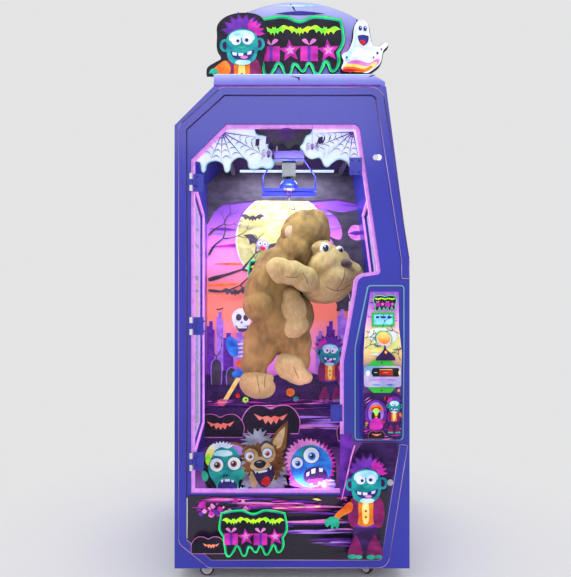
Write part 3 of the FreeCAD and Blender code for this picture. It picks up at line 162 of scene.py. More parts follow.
def printed(name, stops, axis="Z", low=0.0, high=1.0, cloud=0.0, cloud_scale=4.0, roughness=0.3,
            glow=0.0, stretch=(1, 1, 1)):
    """Printed ink: a gradient along an axis, clouded by noise, with a fine screen grain."""
    material, nodes, links, shader = new_finish(name, stops[0][1], roughness)
    height = along_axis(nodes, links, axis, low, high)
    noise = spot_noise(nodes, links, cloud_scale, 5.0, stretch)
    mixer = nodes.new("ShaderNodeMath")
    mixer.operation = "MULTIPLY_ADD"
    mixer.inputs[1].default_value = cloud
    links.new(noise.outputs["Fac"], mixer.inputs[0])
    shifted = nodes.new("ShaderNodeMath")
    shifted.operation = "SUBTRACT"
    shifted.inputs[1].default_value = cloud / 2
    links.new(height, shifted.inputs[0])
    links.new(shifted.outputs["Value"], mixer.inputs[2])
    band = ramp(nodes, links, mixer.outputs["Value"], stops)
    links.new(band.outputs["Color"], shader.inputs["Base Color"])
    if glow:
        links.new(band.outputs["Color"], shader.inputs["Emission Color"])
        shader.inputs["Emission Strength"].default_value = glow
    grain = spot_noise(nodes, links, 900.0, 1.0)
    add_roughness(nodes, links, shader, grain.outputs["Fac"], roughness * 0.8, roughness * 1.3)
    add_bump(nodes, links, shader, grain.outputs["Fac"], 0.03, 0.0005)
    return material


def glowing(name, color, strength, deep=None):
    """A lit diffuser whose brightness ripples with the lamps behind it."""
    material, nodes, links, shader = new_finish(name, color, 0.35)
    ripple = spot_noise(nodes, links, 45.0, 2.0)
    band = ramp(nodes, links, ripple.outputs["Fac"], [(0.3, deep or shade(color, 0.75)), (0.65, color)])
    links.new(band.outputs["Color"], shader.inputs["Base Color"])
    links.new(band.outputs["Color"], shader.inputs["Emission Color"])
    shader.inputs["Emission Strength"].default_value = strength
    add_bump(nodes, links, shader, ripple.outputs["Fac"], 0.05, 0.001)
    return material


def pane(name, tint, roughness=0.02):
    """Clear sheet glass with faint wiping marks."""
    material, nodes, links, shader = new_finish(
        name, tint, roughness, 0.0, Transmission_Weight=1.0, IOR=1.12)
    marks = spot_noise(nodes, links, 9.0, 4.0, (1, 1, 3))
    add_roughness(nodes, links, shader, marks.outputs["Fac"], 0.0, roughness)
    return material


def fur(name, light, dark, scale=70.0):
    """Short pile: tufts of two tones with a soft sheen and a deep fine relief."""
    material, nodes, links, shader = new_finish(
        name, light, 0.9, 0.0, Sheen_Weight=0.22, Sheen_Roughness=0.45,
        Sheen_Tint=(*shade(light, 1.6), 1.0))
    tufts = spot_noise(nodes, links, scale, 8.0, (1, 1, 0.45))
    patches = spot_noise(nodes, links, 6.0, 3.0)
    blend = nodes.new("ShaderNodeMath")
    blend.operation = "MULTIPLY_ADD"
    blend.inputs[1].default_value = 0.55
    links.new(tufts.outputs["Fac"], blend.inputs[0])
    links.new(patches.outputs["Fac"], blend.inputs[2])
    band = ramp(nodes, links, blend.outputs["Value"], [(0.55, dark), (0.95, light)])
    links.new(band.outputs["Color"], shader.inputs["Base Color"])
    strands = spot_noise(nodes, links, scale * 6, 6.0, (1, 1, 0.25))
    add_bump(nodes, links, shader, strands.outputs["Fac"], 0.8, 0.006)
    return material


# ---------------------------------------------------------------- shapes
def finish_piece(name, shape, materials, body, smooth=True):
    """Turn a bmesh into a piece that rides on a body and takes the finishes it is given."""
    bmesh.ops.recalc_face_normals(shape, faces=shape.faces)
    mesh = bpy.data.meshes.new(name)
    shape.to_mesh(mesh)
    shape.free()
    for face in mesh.polygons:
        face.use_smooth = smooth
    piece = bpy.data.objects.new(name, mesh)
    bpy.context.scene.collection.objects.link(piece)
    for material in materials:
        mesh.materials.append(material)
    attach(piece, body)
    return piece


def shift(x, y, z, sx=1.0, sy=1.0, sz=1.0, turn=None):
    matrix = Matrix.Translation((x, y, z))
    if turn:
        matrix = matrix @ Matrix.Rotation(turn[1], 4, turn[0])
    return matrix @ Matrix.Diagonal((sx, sy, sz, 1.0))


def add_ball(shape, matrix, material=0, segments=32):
    """A unit ball, moved and stretched by a matrix."""
    made = bmesh.ops.create_uvsphere(shape, u_segments=segments, v_segments=segments // 2, radius=1.0,
                                     matrix=matrix)
    mark(made["verts"], material)


def add_cone(shape, matrix, low, high, depth, material=0, segments=24):
    made = bmesh.ops.create_cone(shape, cap_ends=True, cap_tris=False, segments=segments,
                                 radius1=low, radius2=high, depth=depth, matrix=matrix)
    mark(made["verts"], material)
    return made["verts"]


def add_block(shape, low, high, material=0, bevel=0.0, segments=2):
    """A block between two corners, with rounded edges."""
    size = [b - a for a, b in zip(low, high)]
    middle = [(a + b) / 2 for a, b in zip(low, high)]
    made = bmesh.ops.create_cube(shape, size=1.0, matrix=shift(*middle, *size))
    mark(made["verts"], material)
    if bevel:
        edges = {edge for vert in made["verts"] for edge in vert.link_edges}
        bmesh.ops.bevel(shape, geom=list(edges), offset=bevel, segments=segments, profile=0.5,
                        affect="EDGES", material=-1, clamp_overlap=True)


def mark(verts, material):
    for face in {face for vert in verts for face in vert.link_faces}:
        face.material_index = material


def tube_between(shape, start, end, radius, material=0, tip=None, segments=12):
    """A round bar or a taper between two points."""
    start, end = Vector(start), Vector(end)
    run = end - start
    matrix = Matrix.Translation((start + end) / 2) @ run.to_track_quat("Z", "Y").to_matrix().to_4x4()
    return add_cone(shape, matrix, radius, radius if tip is None else tip, run.length, material, segments)


def smooth_line(loop, steps=5):
    """A closed line through the points, rounded except at points with a third value."""
    line = []
    count = len(loop)
    for i, here in enumerate(loop):
        before, after, beyond = loop[i - 1], loop[(i + 1) % count], loop[(i + 2) % count]
        if len(here) > 2 and len(after) > 2:
            line.append((here[0], here[1]))
            continue
        span = math.dist(here[:2], after[:2])

        def slope(a, b, point):
            reach = math.dist(a[:2], b[:2]) or 1.0
            return (0.0, 0.0) if len(point) > 2 else (span * (b[0] - a[0]) / reach,
                                                      span * (b[1] - a[1]) / reach)

        start, end = slope(before, after, here), slope(here, beyond, after)
        for k in range(steps):
            t = k / steps
            a, b = 2 * t ** 3 - 3 * t ** 2 + 1, t ** 3 - 2 * t ** 2 + t
            c, d = 3 * t ** 2 - 2 * t ** 3, t ** 3 - t ** 2
            line.append(tuple(a * here[j] + b * start[j] + c * after[j] + d * end[j] for j in (0, 1)))
    return line


def add_flat(shape, loop, y, thick=0.0, material=0, steps=5):
    """A flat shape in the X-Z plane, drawn in millimetres, whose front lies at y."""
    line = smooth_line(loop, steps)
    verts = [shape.verts.new((x * MM, y * MM, z * MM)) for x, z in line]
    face = shape.faces.new(verts)
    face.material_index = material
    if thick:
        made = bmesh.ops.extrude_face_region(shape, geom=[face], use_keep_orig=True)["geom"]
        moved = [item for item in made if isinstance(item, bmesh.types.BMVert)]
        bmesh.ops.translate(shape, vec=(0, thick * MM, 0), verts=moved)
        for side in {face for vert in moved for face in vert.link_faces}:
            side.material_index = material


def rim(loop, distance):
    """The same outline, moved outwards."""
    area = sum(a[0] * b[1] - b[0] * a[1] for a, b in zip(loop, loop[1:] + loop[:1]))
    side = distance if area > 0 else -distance
    grown = []
    for i, here in enumerate(loop):
        before, after = loop[i - 1], loop[(i + 1) % len(loop)]
        run = math.dist(before[:2], after[:2]) or 1.0
        grown.append((here[0] + side * (after[1] - before[1]) / run,
                      here[1] - side * (after[0] - before[0]) / run, *here[2:]))
    return grown


def placed(loop, x, z, scale=1.0, turn=0.0, flip=1.0):
    """An outline drawn about its own middle, sized, turned and put at (x, z)."""
    cosine, sine = math.cos(turn), math.sin(turn)
    result = []
    for point in loop:
        across, up = point[0] * scale * flip, point[1] * scale
        result.append((x + across * cosine - up * sine, z + across * sine + up * cosine, *point[2:]))
    return result


def sharp(loop):
    return [(x, z, 1) for x, z in loop]


def ring_points(x, z, rx, rz, count=12, start=0.0):
    return [(x + rx * math.cos(start + math.tau * i / count),
             z + rz * math.sin(start + math.tau * i / count))
            for i in range(count)]


# ---------------------------------------------------------------- what a user would change
class CraneLook(bpy.types.PropertyGroup):
    """The colours and sizes that a user would change."""

    cabinet: bpy.props.FloatVectorProperty(
        name="Cabinet", description="Colour of the powder-coated cabinet", subtype="COLOR",
        default=(0.016, 0.022, 0.44), min=0.0, max=1.0)
    led: bpy.props.FloatVectorProperty(
        name="Edge light", description="Colour of the lit edge profiles", subtype="COLOR",
        default=(0.80, 0.30, 0.92), min=0.0, max=1.0)
    led_power: bpy.props.FloatProperty(
        name="Edge light power", description="Brightness of the lit edge profiles", default=0.5, min=0.0)
    moon: bpy.props.FloatProperty(
        name="Moon radius", description="Radius of the printed moon", default=0.274, unit="LENGTH")
    fur_light: bpy.props.FloatVectorProperty(
        name="Fur, tips", description="Colour of the plush's lighter fur", subtype="COLOR",
        default=(0.44, 0.28, 0.078), min=0.0, max=1.0)
    fur_dark: bpy.props.FloatVectorProperty(
        name="Fur, roots", description="Colour of the plush's darker fur", subtype="COLOR",
        default=(0.12, 0.070, 0.018), min=0.0, max=1.0)


def look():
    return bpy.context.scene.crane_look


def dress(node, materials, choose=None):
    """Give a frame node its finishes; choose names a material's place for a face's middle."""
    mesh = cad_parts[node].data
    mesh.materials.clear()
    for material in materials:
        mesh.materials.append(material)
    for face in mesh.polygons:
        face.material_index = choose(face.center) if choose else 0


def studio_floor():
    """Pale floor that takes the machine's shadow nearby and melts into the backdrop's tone far away."""
    material, nodes, links, shader = new_finish("floor_paint", (0.86, 0.86, 0.87), 0.8)
    place = nodes.new("ShaderNodeTexCoord")
    span = nodes.new("ShaderNodeVectorMath")
    span.operation = "LENGTH"
    links.new(place.outputs["Object"], span.inputs[0])
    near = nodes.new("ShaderNodeMapRange")
    near.inputs["From Min"].default_value = FLOOR_NEAR
    near.inputs["From Max"].default_value = FLOOR_FAR
    links.new(span.outputs["Value"], near.inputs["Value"])
    paint = ramp(nodes, links, near.outputs["Result"], [(0.0, (0.86, 0.86, 0.87)), (1.0, (0.0, 0.0, 0.0))])
    air = ramp(nodes, links, near.outputs["Result"], [(0.0, (0.0, 0.0, 0.0)), (1.0, STUDIO_TONE)])
    links.new(paint.outputs["Color"], shader.inputs["Base Color"])
    links.new(air.outputs["Color"], shader.inputs["Emission Color"])
    shader.inputs["Emission Strength"].default_value = 1.0
    shader.inputs["Specular IOR Level"].default_value = 0.0
    dust = spot_noise(nodes, links, 20.0)
    add_bump(nodes, links, shader, dust.outputs["Fac"], 0.02, 0.001)
    return material


class CRANE_OT_studio(bpy.types.Operator):
    """Floor, backdrop, lights and camera"""

    bl_idname = "crane.studio"
    bl_label = "Studio"

    def execute(self, context):
        scene = context.scene
        scene.view_settings.view_transform = "Standard"
        camera = bpy.data.objects.new("camera", bpy.data.cameras.new("camera"))
        camera.location = (CAMERA_SIDE, FRONT - CAMERA_DISTANCE, CAMERA_HEIGHT)
        camera.rotation_euler = (math.radians(90), 0, 0)
        camera.data.lens = CAMERA_LENS
        camera.data.shift_x, camera.data.shift_y = CAMERA_SHIFT
        scene.collection.objects.link(camera)
        scene.camera = camera

        world = bpy.data.worlds.new("studio")
        world.use_nodes = True
        world.node_tree.nodes["Background"].inputs["Color"].default_value = (*STUDIO_TONE, 1)
        world.node_tree.nodes["Background"].inputs["Strength"].default_value = 1.0
        scene.world = world

        ground = bmesh.new()
        bmesh.ops.create_grid(ground, x_segments=1, y_segments=1, size=FLOOR_HALF)
        mesh = bpy.data.meshes.new("floor")
        ground.to_mesh(mesh)
        ground.free()
        mesh.materials.append(studio_floor())
        floor = bpy.data.objects.new("floor", mesh)
        scene.collection.objects.link(floor)

        def soft_light(name, place, aim, power, size, color=(1, 1, 1)):
            lamp = bpy.data.lights.new(name, "AREA")
            lamp.shape = "RECTANGLE"
            lamp.size, lamp.size_y = size
            lamp.energy = power
            lamp.color = color
            holder = bpy.data.objects.new(name, lamp)
            holder.location = place
            holder.rotation_euler = (Vector(aim) - Vector(place)).to_track_quat("-Z", "Y").to_euler()
            holder.visible_camera = False
            holder.visible_transmission = False
            scene.collection.objects.link(holder)

        soft_light("key_softbox", (-0.5, -3.4, 3.6), (0, 0, 1.5), 30, (3.4, 1.5), (0.93, 0.90, 1.0))
        soft_light("fill_left", (-3.2, -2.2, 1.6), (0, 0, 1.1), 8, (1.6, 2.6))
        soft_light("fill_right", (3.2, -2.4, 1.6), (0, 0, 1.1), 8, (1.6, 2.6))
        soft_light("back_light", (0.6, 3.2, 2.8), (0, 0, 1.1), 22, (2.6, 2.0))
        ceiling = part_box("ceiling_panel")[0]
        soft_light("chamber_front", (0, FRONT + 0.12, ceiling.z - 0.03), (0, FRONT + 0.45, 0.9), 7.5,
                   (0.55, 0.05), (0.86, 0.93, 1.0))
        soft_light("chamber_rear", (0, FRONT + 0.70, ceiling.z - 0.03), (0, FRONT + 0.85, 0.9), 4.5,
                   (0.5, 0.05), (0.9, 0.85, 1.0))
        soft_light("chamber_left", (-0.44, FRONT + 0.10, 1.15), (0.1, FRONT + 0.7, 1.1), 3, (0.05, 1.4),
                   (1.0, 0.62, 0.98))
        soft_light("chamber_right", (0.19, FRONT + 0.08, 0.72), (0.0, FRONT + 0.8, 0.9), 1.2, (0.04, 0.4),
                   (1.0, 0.66, 0.98))
        soft_light("chamber_low", (-0.1, FRONT + 0.06, 0.41), (0, FRONT + 0.7, 0.9), 0.8, (0.5, 0.04),
                   (1.0, 0.70, 0.98))
        return {"FINISHED"}


class CRANE_OT_frame_finishes(bpy.types.Operator):
    """Finishes of the frame's own parts: coated sheet, boards, glass, metal, plastics and rubber"""

    bl_idname = "crane.frame_finishes"
    bl_label = "Frame finishes"

    def execute(self, context):
        cabinet = tuple(look().cabinet)
        coat = coated("cabinet_powder_coat", cabinet, 0.30, grain=260.0, drift=0.10, bump=0.06,
                      Coat_Weight=0.5, Coat_Roughness=0.12)
        for node in ("left_side_panel", "right_side_panel", "roof_panel", "rear_panel", "rear_door",
                     "front_fascia", "trim_band", "control_housing", "door_clamp_plates",
                     "gripper_crossbar", "lift_yoke"):
            dress(node, [coat])
        zinc = coated("zinc_steel", (0.56, 0.56, 0.60), 0.34, 1.0, grain=90.0, bump=0.08,
                      stretch=(1, 1, 14))
        for node in ("base_frame", "gantry_rails", "caster_plates", "trolley_motor", "control_bay_cover",
                     "lift_posts_and_pins"):
            dress(node, [zinc])
        polished = coated("polished_chrome", (0.80, 0.80, 0.83), 0.12, 1.0, grain=140.0, drift=0.05,
                          bump=0.02)
        for node in ("glass_door_lock", "lower_door_lock"):
            dress(node, [polished])
        leaf_edge = FRONT - 0.0032
        dress("fixed_hinge_parts", [polished, coat], lambda c: 1 if c.y > leaf_edge and c.y < 0 else 0)
        board = coated("black_board", (0.030, 0.028, 0.036), 0.6, grain=120.0, drift=0.25, bump=0.12)
        dress("base_floor", [board])
        black = coated("black_plastic", (0.022, 0.022, 0.028), 0.42, grain=400.0, drift=0.2, bump=0.1)
        for node in ("rear_latch", "power_inlet", "cross_beam", "gripper_drive"):
            dress(node, [black])
        dress("trolley", [coated("trolley_coat", (0.07, 0.03, 0.30), 0.35, grain=300.0, drift=0.2)])
        dress("gripper_dome", [coated("dome_plastic", (0.03, 0.06, 0.62), 0.12, grain=30.0, drift=0.2,
                                      bump=0.02, Coat_Weight=1.0)])
        bronze = coated("bronze_wire", (0.30, 0.07, 0.06), 0.35, 0.6, grain=200.0)
        dress("gripper_prong_left", [bronze])
        dress("gripper_prong_right", [bronze])
        clip_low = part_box("prize_string")[1].z - 0.0085
        dress("prize_string", [coated("cotton_string", (0.62, 0.42, 0.20), 0.9, grain=700.0, bump=0.6,
                                      stretch=(1, 1, 0.4)), black],
              lambda c: 1 if c.z > clip_low else 0)
        dress("door_glass", [pane("front_glass", (0.96, 0.98, 1.0))])
        dress("side_glasses", [pane("side_glass", (0.70, 0.66, 0.95), 0.05)])
        pink = glowing("edge_diffuser", tuple(look().led), look().led_power)
        white = glowing("ceiling_tube", (0.70, 0.86, 1.0), 0.8)
        tubes_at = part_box("ceiling_panel")[0].z - 0.0125
        dress("led_profiles", [pink, white], lambda c: 1 if c.z > tubes_at else 0)
        dress("ceiling_panel", [printed("ceiling_print", [(0.2, (0.012, 0.010, 0.05)),
                (0.8, (0.05, 0.02, 0.14))],
                                        "Y", FRONT, FRONT + 0.96, 0.5, 4.0, 0.9)])
        green = coated("green_plastic", (0.015, 0.60, 0.035), 0.28, grain=350.0, drift=0.12,
                       Coat_Weight=0.3)
        collar = coated("button_collar", (0.92, 0.80, 0.86), 0.2, grain=120.0, drift=0.05, Coat_Weight=0.6)
        dome_low, dome_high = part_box("button_dome")
        axis = (dome_low + dome_high) / 2
        dress("button_ring", [green, collar],
              lambda c: 1 if math.hypot(c.x - axis.x, c.z - axis.z) < 0.0318 else 0)
        dress("reader_bracket", [green])
        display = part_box("display")
        screen = glowing("display_glass", (0.10, 0.38, 0.95), 0.9, (0.20, 0.55, 1.0))
        lip = 0.0088
        dress("display", [green, screen], lambda c: 1 if (
            display[0].x + lip < c.x < display[1].x - lip and display[0].z + lip < c.z < display[1].z - lip
            and c.y > display[0].y + 0.001) else 0)
        amber, nodes, links, shader = new_finish("amber_dome", (0.95, 0.42, 0.05), 0.12, 0.0,
                                                 Coat_Weight=1.0)
        glint = spot_noise(nodes, links, 30.0)
        # The amber colour and its glow run from deep red at the foot to pale orange at the crown: painted
        # shade low down and a painted highlight on top.
        rise = along_axis(nodes, links, "Z", *[corner.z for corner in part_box("button_dome")])
        tone = ramp(nodes, links, rise, [(0.10, (0.80, 0.10, 0.01)), (0.45, (0.95, 0.26, 0.02)),
                                         (0.90, (1.0, 0.62, 0.12))])
        links.new(tone.outputs["Color"], shader.inputs["Base Color"])
        links.new(tone.outputs["Color"], shader.inputs["Emission Color"])
        shader.inputs["Emission Strength"].default_value = 0.55
        add_roughness(nodes, links, shader, glint.outputs["Fac"], 0.08, 0.2)
        dress("button_dome", [amber])
        dress("control_trim", [coated("trim_plastic", (0.18, 0.42, 0.62), 0.25, grain=200.0, drift=0.08)])
        reader, nodes, links, shader = new_finish("pearl_reader", (0.35, 0.45, 0.85), 0.18, 0.35,
                                                  Coat_Weight=0.8)
        drift = spot_noise(nodes, links, 14.0, 2.0)
        pearl = ramp(nodes, links, drift.outputs["Fac"],
                     [(0.3, (0.16, 0.42, 0.85)), (0.48, (0.55, 0.45, 0.90)), (0.62, (0.75, 0.62, 0.95)),
                      (0.8, (0.30, 0.70, 0.95))])
        links.new(pearl.outputs["Color"], shader.inputs["Base Color"])
        add_bump(nodes, links, shader, drift.outputs["Fac"], 0.05, 0.002)
        dress("card_reader", [reader])
        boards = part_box("topper_boards")
        stone_back = (boards[0].y + boards[1].y) / 2 - 0.0005
        stone = printed("lilac_stone", [(0.0, (0.16, 0.16, 0.72)), (0.45, (0.27, 0.29, 0.86)),
                                        (0.8, (0.42, 0.45, 0.95)), (1.0, (0.55, 0.58, 0.98))],
                        "Z", boards[0].z, boards[1].z, 0.35, 9.0, 0.5)
        outline_black = coated("black_edge", (0.012, 0.010, 0.022), 0.5, grain=200.0)
        dress("topper_boards", [stone, outline_black], lambda c: 1 if c.y > stone_back else 0)
        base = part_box("topper_base")
        dress("topper_base", [printed("lilac_ledge", [(0.0, (0.13, 0.12, 0.62)), (0.5, (0.24, 0.26, 0.82)),
                                                      (0.9, (0.50, 0.52, 0.97))],
                                      "Z", base[0].z, base[1].z, 0.25, 12.0, 0.5)])
        tyre = coated("caster_tyre", (0.045, 0.020, 0.022), 0.6, grain=500.0, bump=0.25)
        hub = coated("caster_hub", (0.66, 0.60, 0.66), 0.4, grain=200.0)
        for name in ("front_left", "front_right", "rear_left", "rear_right"):
            low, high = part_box("caster_wheel_" + name)
            middle = (low + high) / 2
            dress("caster_wheel_" + name, [tyre, hub],
                  lambda c, m=middle: 1 if abs(c.z - m.z) < 0.0225 and (c - m).length < 0.0262 else 0)
            dress("caster_fork_" + name, [zinc])
        dress("electronics", [coated("grey_case", (0.30, 0.31, 0.33), 0.45, 0.4, grain=150.0)])
        return {"FINISHED"}


# ---------------------------------------------------------------- printed art
INK_TONES = {
    "black": ((0.006, 0.005, 0.012), (0.022, 0.018, 0.040), 0.0),
    "night": ((0.020, 0.006, 0.060), (0.075, 0.020, 0.170), 0.0),
    "violet": ((0.10, 0.016, 0.34), (0.22, 0.04, 0.56), 0.05),
    "lilac": ((0.30, 0.13, 0.72), (0.55, 0.30, 0.92), 0.15),
    "magenta": ((0.36, 0.01, 0.32), (0.85, 0.04, 0.58), 0.12),
    "pink": ((0.70, 0.14, 0.58), (0.95, 0.38, 0.80), 0.12),
    "wine": ((0.14, 0.008, 0.08), (0.38, 0.02, 0.20), 0.0),
    "coral": ((0.95, 0.14, 0.10), (1.0, 0.36, 0.22), 0.2),
    "orange": ((0.78, 0.08, 0.01), (0.98, 0.33, 0.02), 0.1),
    "yellow": ((0.95, 0.62, 0.10), (1.0, 0.92, 0.38), 0.2),
    "moon": ((0.66, 0.66, 0.16), (0.90, 0.88, 0.42), 0.05),
    "lime": ((0.10, 0.80, 0.04), (0.62, 0.95, 0.02), 0.35),
    "neon": ((0.0, 0.62, 0.10), (0.02, 0.90, 0.14), 0.6),
    "teal": ((0.0, 0.20, 0.28), (0.02, 0.52, 0.52), 0.05),
    "sea": ((0.01, 0.32, 0.24), (0.04, 0.62, 0.38), 0.05),
    "ice": ((0.22, 0.62, 0.85), (0.78, 0.97, 1.0), 0.2),
    "web": ((0.70, 0.84, 1.0), (0.92, 1.0, 1.0), 0.45),
    "white": ((0.62, 0.70, 0.95), (0.98, 0.98, 1.0), 0.18),
    "navy": ((0.016, 0.016, 0.16), (0.05, 0.05, 0.36), 0.0),
    "slate": ((0.045, 0.038, 0.062), (0.10, 0.085, 0.125), 0.0),
    "red": ((0.50, 0.0, 0.015), (0.90, 0.03, 0.02), 0.1),
    "brown": ((0.12, 0.035, 0.010), (0.40, 0.14, 0.035), 0.0),
    "tan": ((0.55, 0.30, 0.13), (0.88, 0.62, 0.36), 0.05),
    "blue": ((0.01, 0.09, 0.55), (0.04, 0.36, 0.95), 0.12),
    "grey": ((0.20, 0.18, 0.30), (0.60, 0.58, 0.78), 0.0),
}
INKS = {}


def ink(name):
    """A printed colour whose tone runs from a shade to a light, clouded like screened ink."""
    if name not in INKS:
        dark, light, glow = INK_TONES[name]
        material, nodes, links, shader = new_finish("ink_" + name, light, 0.45)
        shader.inputs["Specular IOR Level"].default_value = 0.2
        cloud = spot_noise(nodes, links, 17.0, 3.0, (1, 1, 1.6))
        tone = ramp(nodes, links, cloud.outputs["Fac"], [(0.32, dark), (0.68, light)])
        links.new(tone.outputs["Color"], shader.inputs["Base Color"])
        if glow:
            links.new(tone.outputs["Color"], shader.inputs["Emission Color"])
            shader.inputs["Emission Strength"].default_value = glow
        screen = spot_noise(nodes, links, 800.0, 1.0)
        add_bump(nodes, links, shader, screen.outputs["Fac"], 0.04, 0.0004)
        INKS[name] = material
    return INKS[name]


def print_art(name, y, drawing, body, board=None, step=0.25):
    """Layers of ink, each (colour, outline), laid one on another towards the front, on an optional board."""
    colors = sorted({color for color, _ in drawing} | ({"black"} if board else set()))
    shape = bmesh.new()
    if board:
        thick, outlines = board
        for outline in outlines:
            add_flat(shape, outline, y, thick, colors.index("black"))
    for level, (color, outline) in enumerate(drawing, 1):
        add_flat(shape, outline, y - level * step, 0.0, colors.index(color))
    return finish_piece(name, shape, [ink(color) for color in colors], body, smooth=False)


def moved(drawing, x, z, scale=1.0, turn=0.0, flip=1.0):
    return [(color, placed(outline, x, z, scale, turn, flip)) for color, outline in drawing]


def oval(x, z, rx, rz=None, count=10):
    return ring_points(x, z, rx, rz or rx, count)


def lens(x, z, half, tall, lean=0.0):
    """A long streak with pointed ends."""
    return [(x - half, z - lean, 1), (x, z + tall), (x + half, z + lean, 1), (x, z - tall * 0.6)]


def streaks(seed, count, x0, x1, z0, z1, half, tall, colors, lean=0.0):
    """Painted streaks scattered over a region."""
    dice = random.Random(seed)
    drawing = []
    for _ in range(count):
        x, z, size = dice.uniform(x0, x1), dice.uniform(z0, z1), dice.uniform(0.4, 1.0)
        reach = min(half * size, x - x0 + 4, x1 - x + 4)
        drawing.append((dice.choice(colors), lens(x, z, max(reach, 6), tall * size,
                                                  dice.uniform(-lean, lean))))
    return drawing


def twig(dice, color, x, z, angle, length, width, depth):
    """A bare branch that forks into thinner ones."""
    tip_x, tip_z = x + length * math.cos(angle), z + length * math.sin(angle)
    across, up = -math.sin(angle) * width / 2, math.cos(angle) * width / 2
    bend = dice.uniform(-0.12, 0.12) * length
    middle_x, middle_z = (x + tip_x) / 2 + bend * -math.sin(angle), (z + tip_z) / 2 + bend * math.cos(angle)
    drawing = [(color, [
        (x - across, z - up), (middle_x - across * 0.8, middle_z - up * 0.8),
        (tip_x - across * 0.4, tip_z - up * 0.4),
        (tip_x + across * 0.4, tip_z + up * 0.4), (middle_x + across * 0.8, middle_z + up * 0.8),
        (x + across, z + up),
    ])]
    if depth:
        for turn in (dice.uniform(0.35, 0.75), dice.uniform(-0.7, -0.3)):
            drawing += twig(dice, color, tip_x, tip_z, angle + turn, length * dice.uniform(0.5, 0.75),
                            max(width * 0.55, 2.5), depth - 1)
    return drawing


BAT = [(-50, 8, 1), (-32, 18), (-16, 10, 1), (-7, 8), (-5, 16, 1), (0, 11), (5, 16, 1), (7, 8), (16, 10, 1),
       (32, 18), (50, 8, 1), (36, 4), (28, -8, 1), (19, 0), (11, -11, 1), (5, -4), (0, -17, 1), (-5, -4),
       (-11, -11, 1), (-19, 0), (-28, -8, 1), (-36, 4)]
STAR = [(50 * r * math.sin(math.tau * i / 10), 50 * r * math.cos(math.tau * i / 10), 1)
        for i, r in enumerate([1, 0.45] * 5)]
GRIN = sharp([(-50, 16), (-34, -4), (-24, 2), (-16, -14), (-8, -4), (0, -16), (8, -4), (16, -14), (24, 2),
              (34, -4), (50, 16), (26, 6), (10, 10), (0, 4), (-10, 10), (-26, 6)])
DRIP = [(-50, 26, 1), (-20, 30), (0, 24), (20, 30), (50, 26, 1), (53, 2), (46, -12, 1), (47, -26),
        (42, -34),
        (37, -24), (31, -22), (27, -30), (22, -38), (17, -28), (10, -24), (4, -34), (-2, -27), (-9, -26),
        (-15, -40),
        (-21, -28), (-28, -24), (-34, -33), (-40, -41), (-44, -28), (-46, -10, 1), (-53, 2)]


def pumpkin(x, z, scale):
    """A dark pumpkin with a lit edge and a red grin, its foot at z."""
    body = [(-50, 0, 1), (-52, 26), (-36, 48), (-14, 50), (0, 44), (14, 50), (36, 48), (52, 26), (50, 0, 1)]
    return moved([("pink", rim(body, 1.5)), ("black", body), ("coral", placed(GRIN, 0, 26, 0.62))], x, z,
                 scale)


def emblem(x, z, scale):
    """The machine's plain emblem: winged shapes over parcels and stars in a dripping neon frame."""
    drawing = [("neon", rim(DRIP, 4.0)), ("sea", rim(DRIP, 2.6)), ("black", DRIP)]
    for k, wide in enumerate((0.42, 0.38, 0.42)):
        drawing.append(("lime", placed(BAT, (k - 1) * 32, 14, wide * 0.92, (k - 1) * -0.06)))
    for k in range(4):
        across = (k - 1.5) * 24
        if k % 2:
            drawing.append(("magenta", placed(STAR, across, -11, 0.29, 0.1)))
            drawing.append(("pink", placed(STAR, across, -10, 0.14, 0.1)))
        else:
            drawing += [("magenta", sharp([(across - 11, -24), (across + 11, -24), (across + 11, -5),
                                           (across - 11, -5)])),
                        ("violet", sharp([(across - 2, -24), (across + 2, -24), (across + 2, -5),
                                          (across - 2, -5)])),
                        ("pink", [(across, -4, 1), (across - 9, 2), (across - 4, 4), (across, -4, 1),
                                  (across + 4, 4),
                                  (across + 9, 2)])]
    return moved(drawing, x, z, scale)


def spikes(x, z, rx, rz, start, end, count, inner=0.55, skew=0.0):
    """A crest of hair: spikes round an arc from start to end, in degrees."""
    loop = []
    for i in range(count * 2 + 1):
        angle = math.radians(start + (end - start) * i / (count * 2))
        reach = 1.0 if i % 2 else 0.74
        loop.append((x + rx * reach * math.cos(angle + skew * (i % 2)), z + rz * reach * math.sin(angle),
                     1))
    for angle in (end, (start + end) / 2, start):
        angle = math.radians(angle)
        loop.append((x + rx * inner * 0.8 * math.cos(angle), z + rz * inner * 0.6 * math.sin(angle)))
    return loop


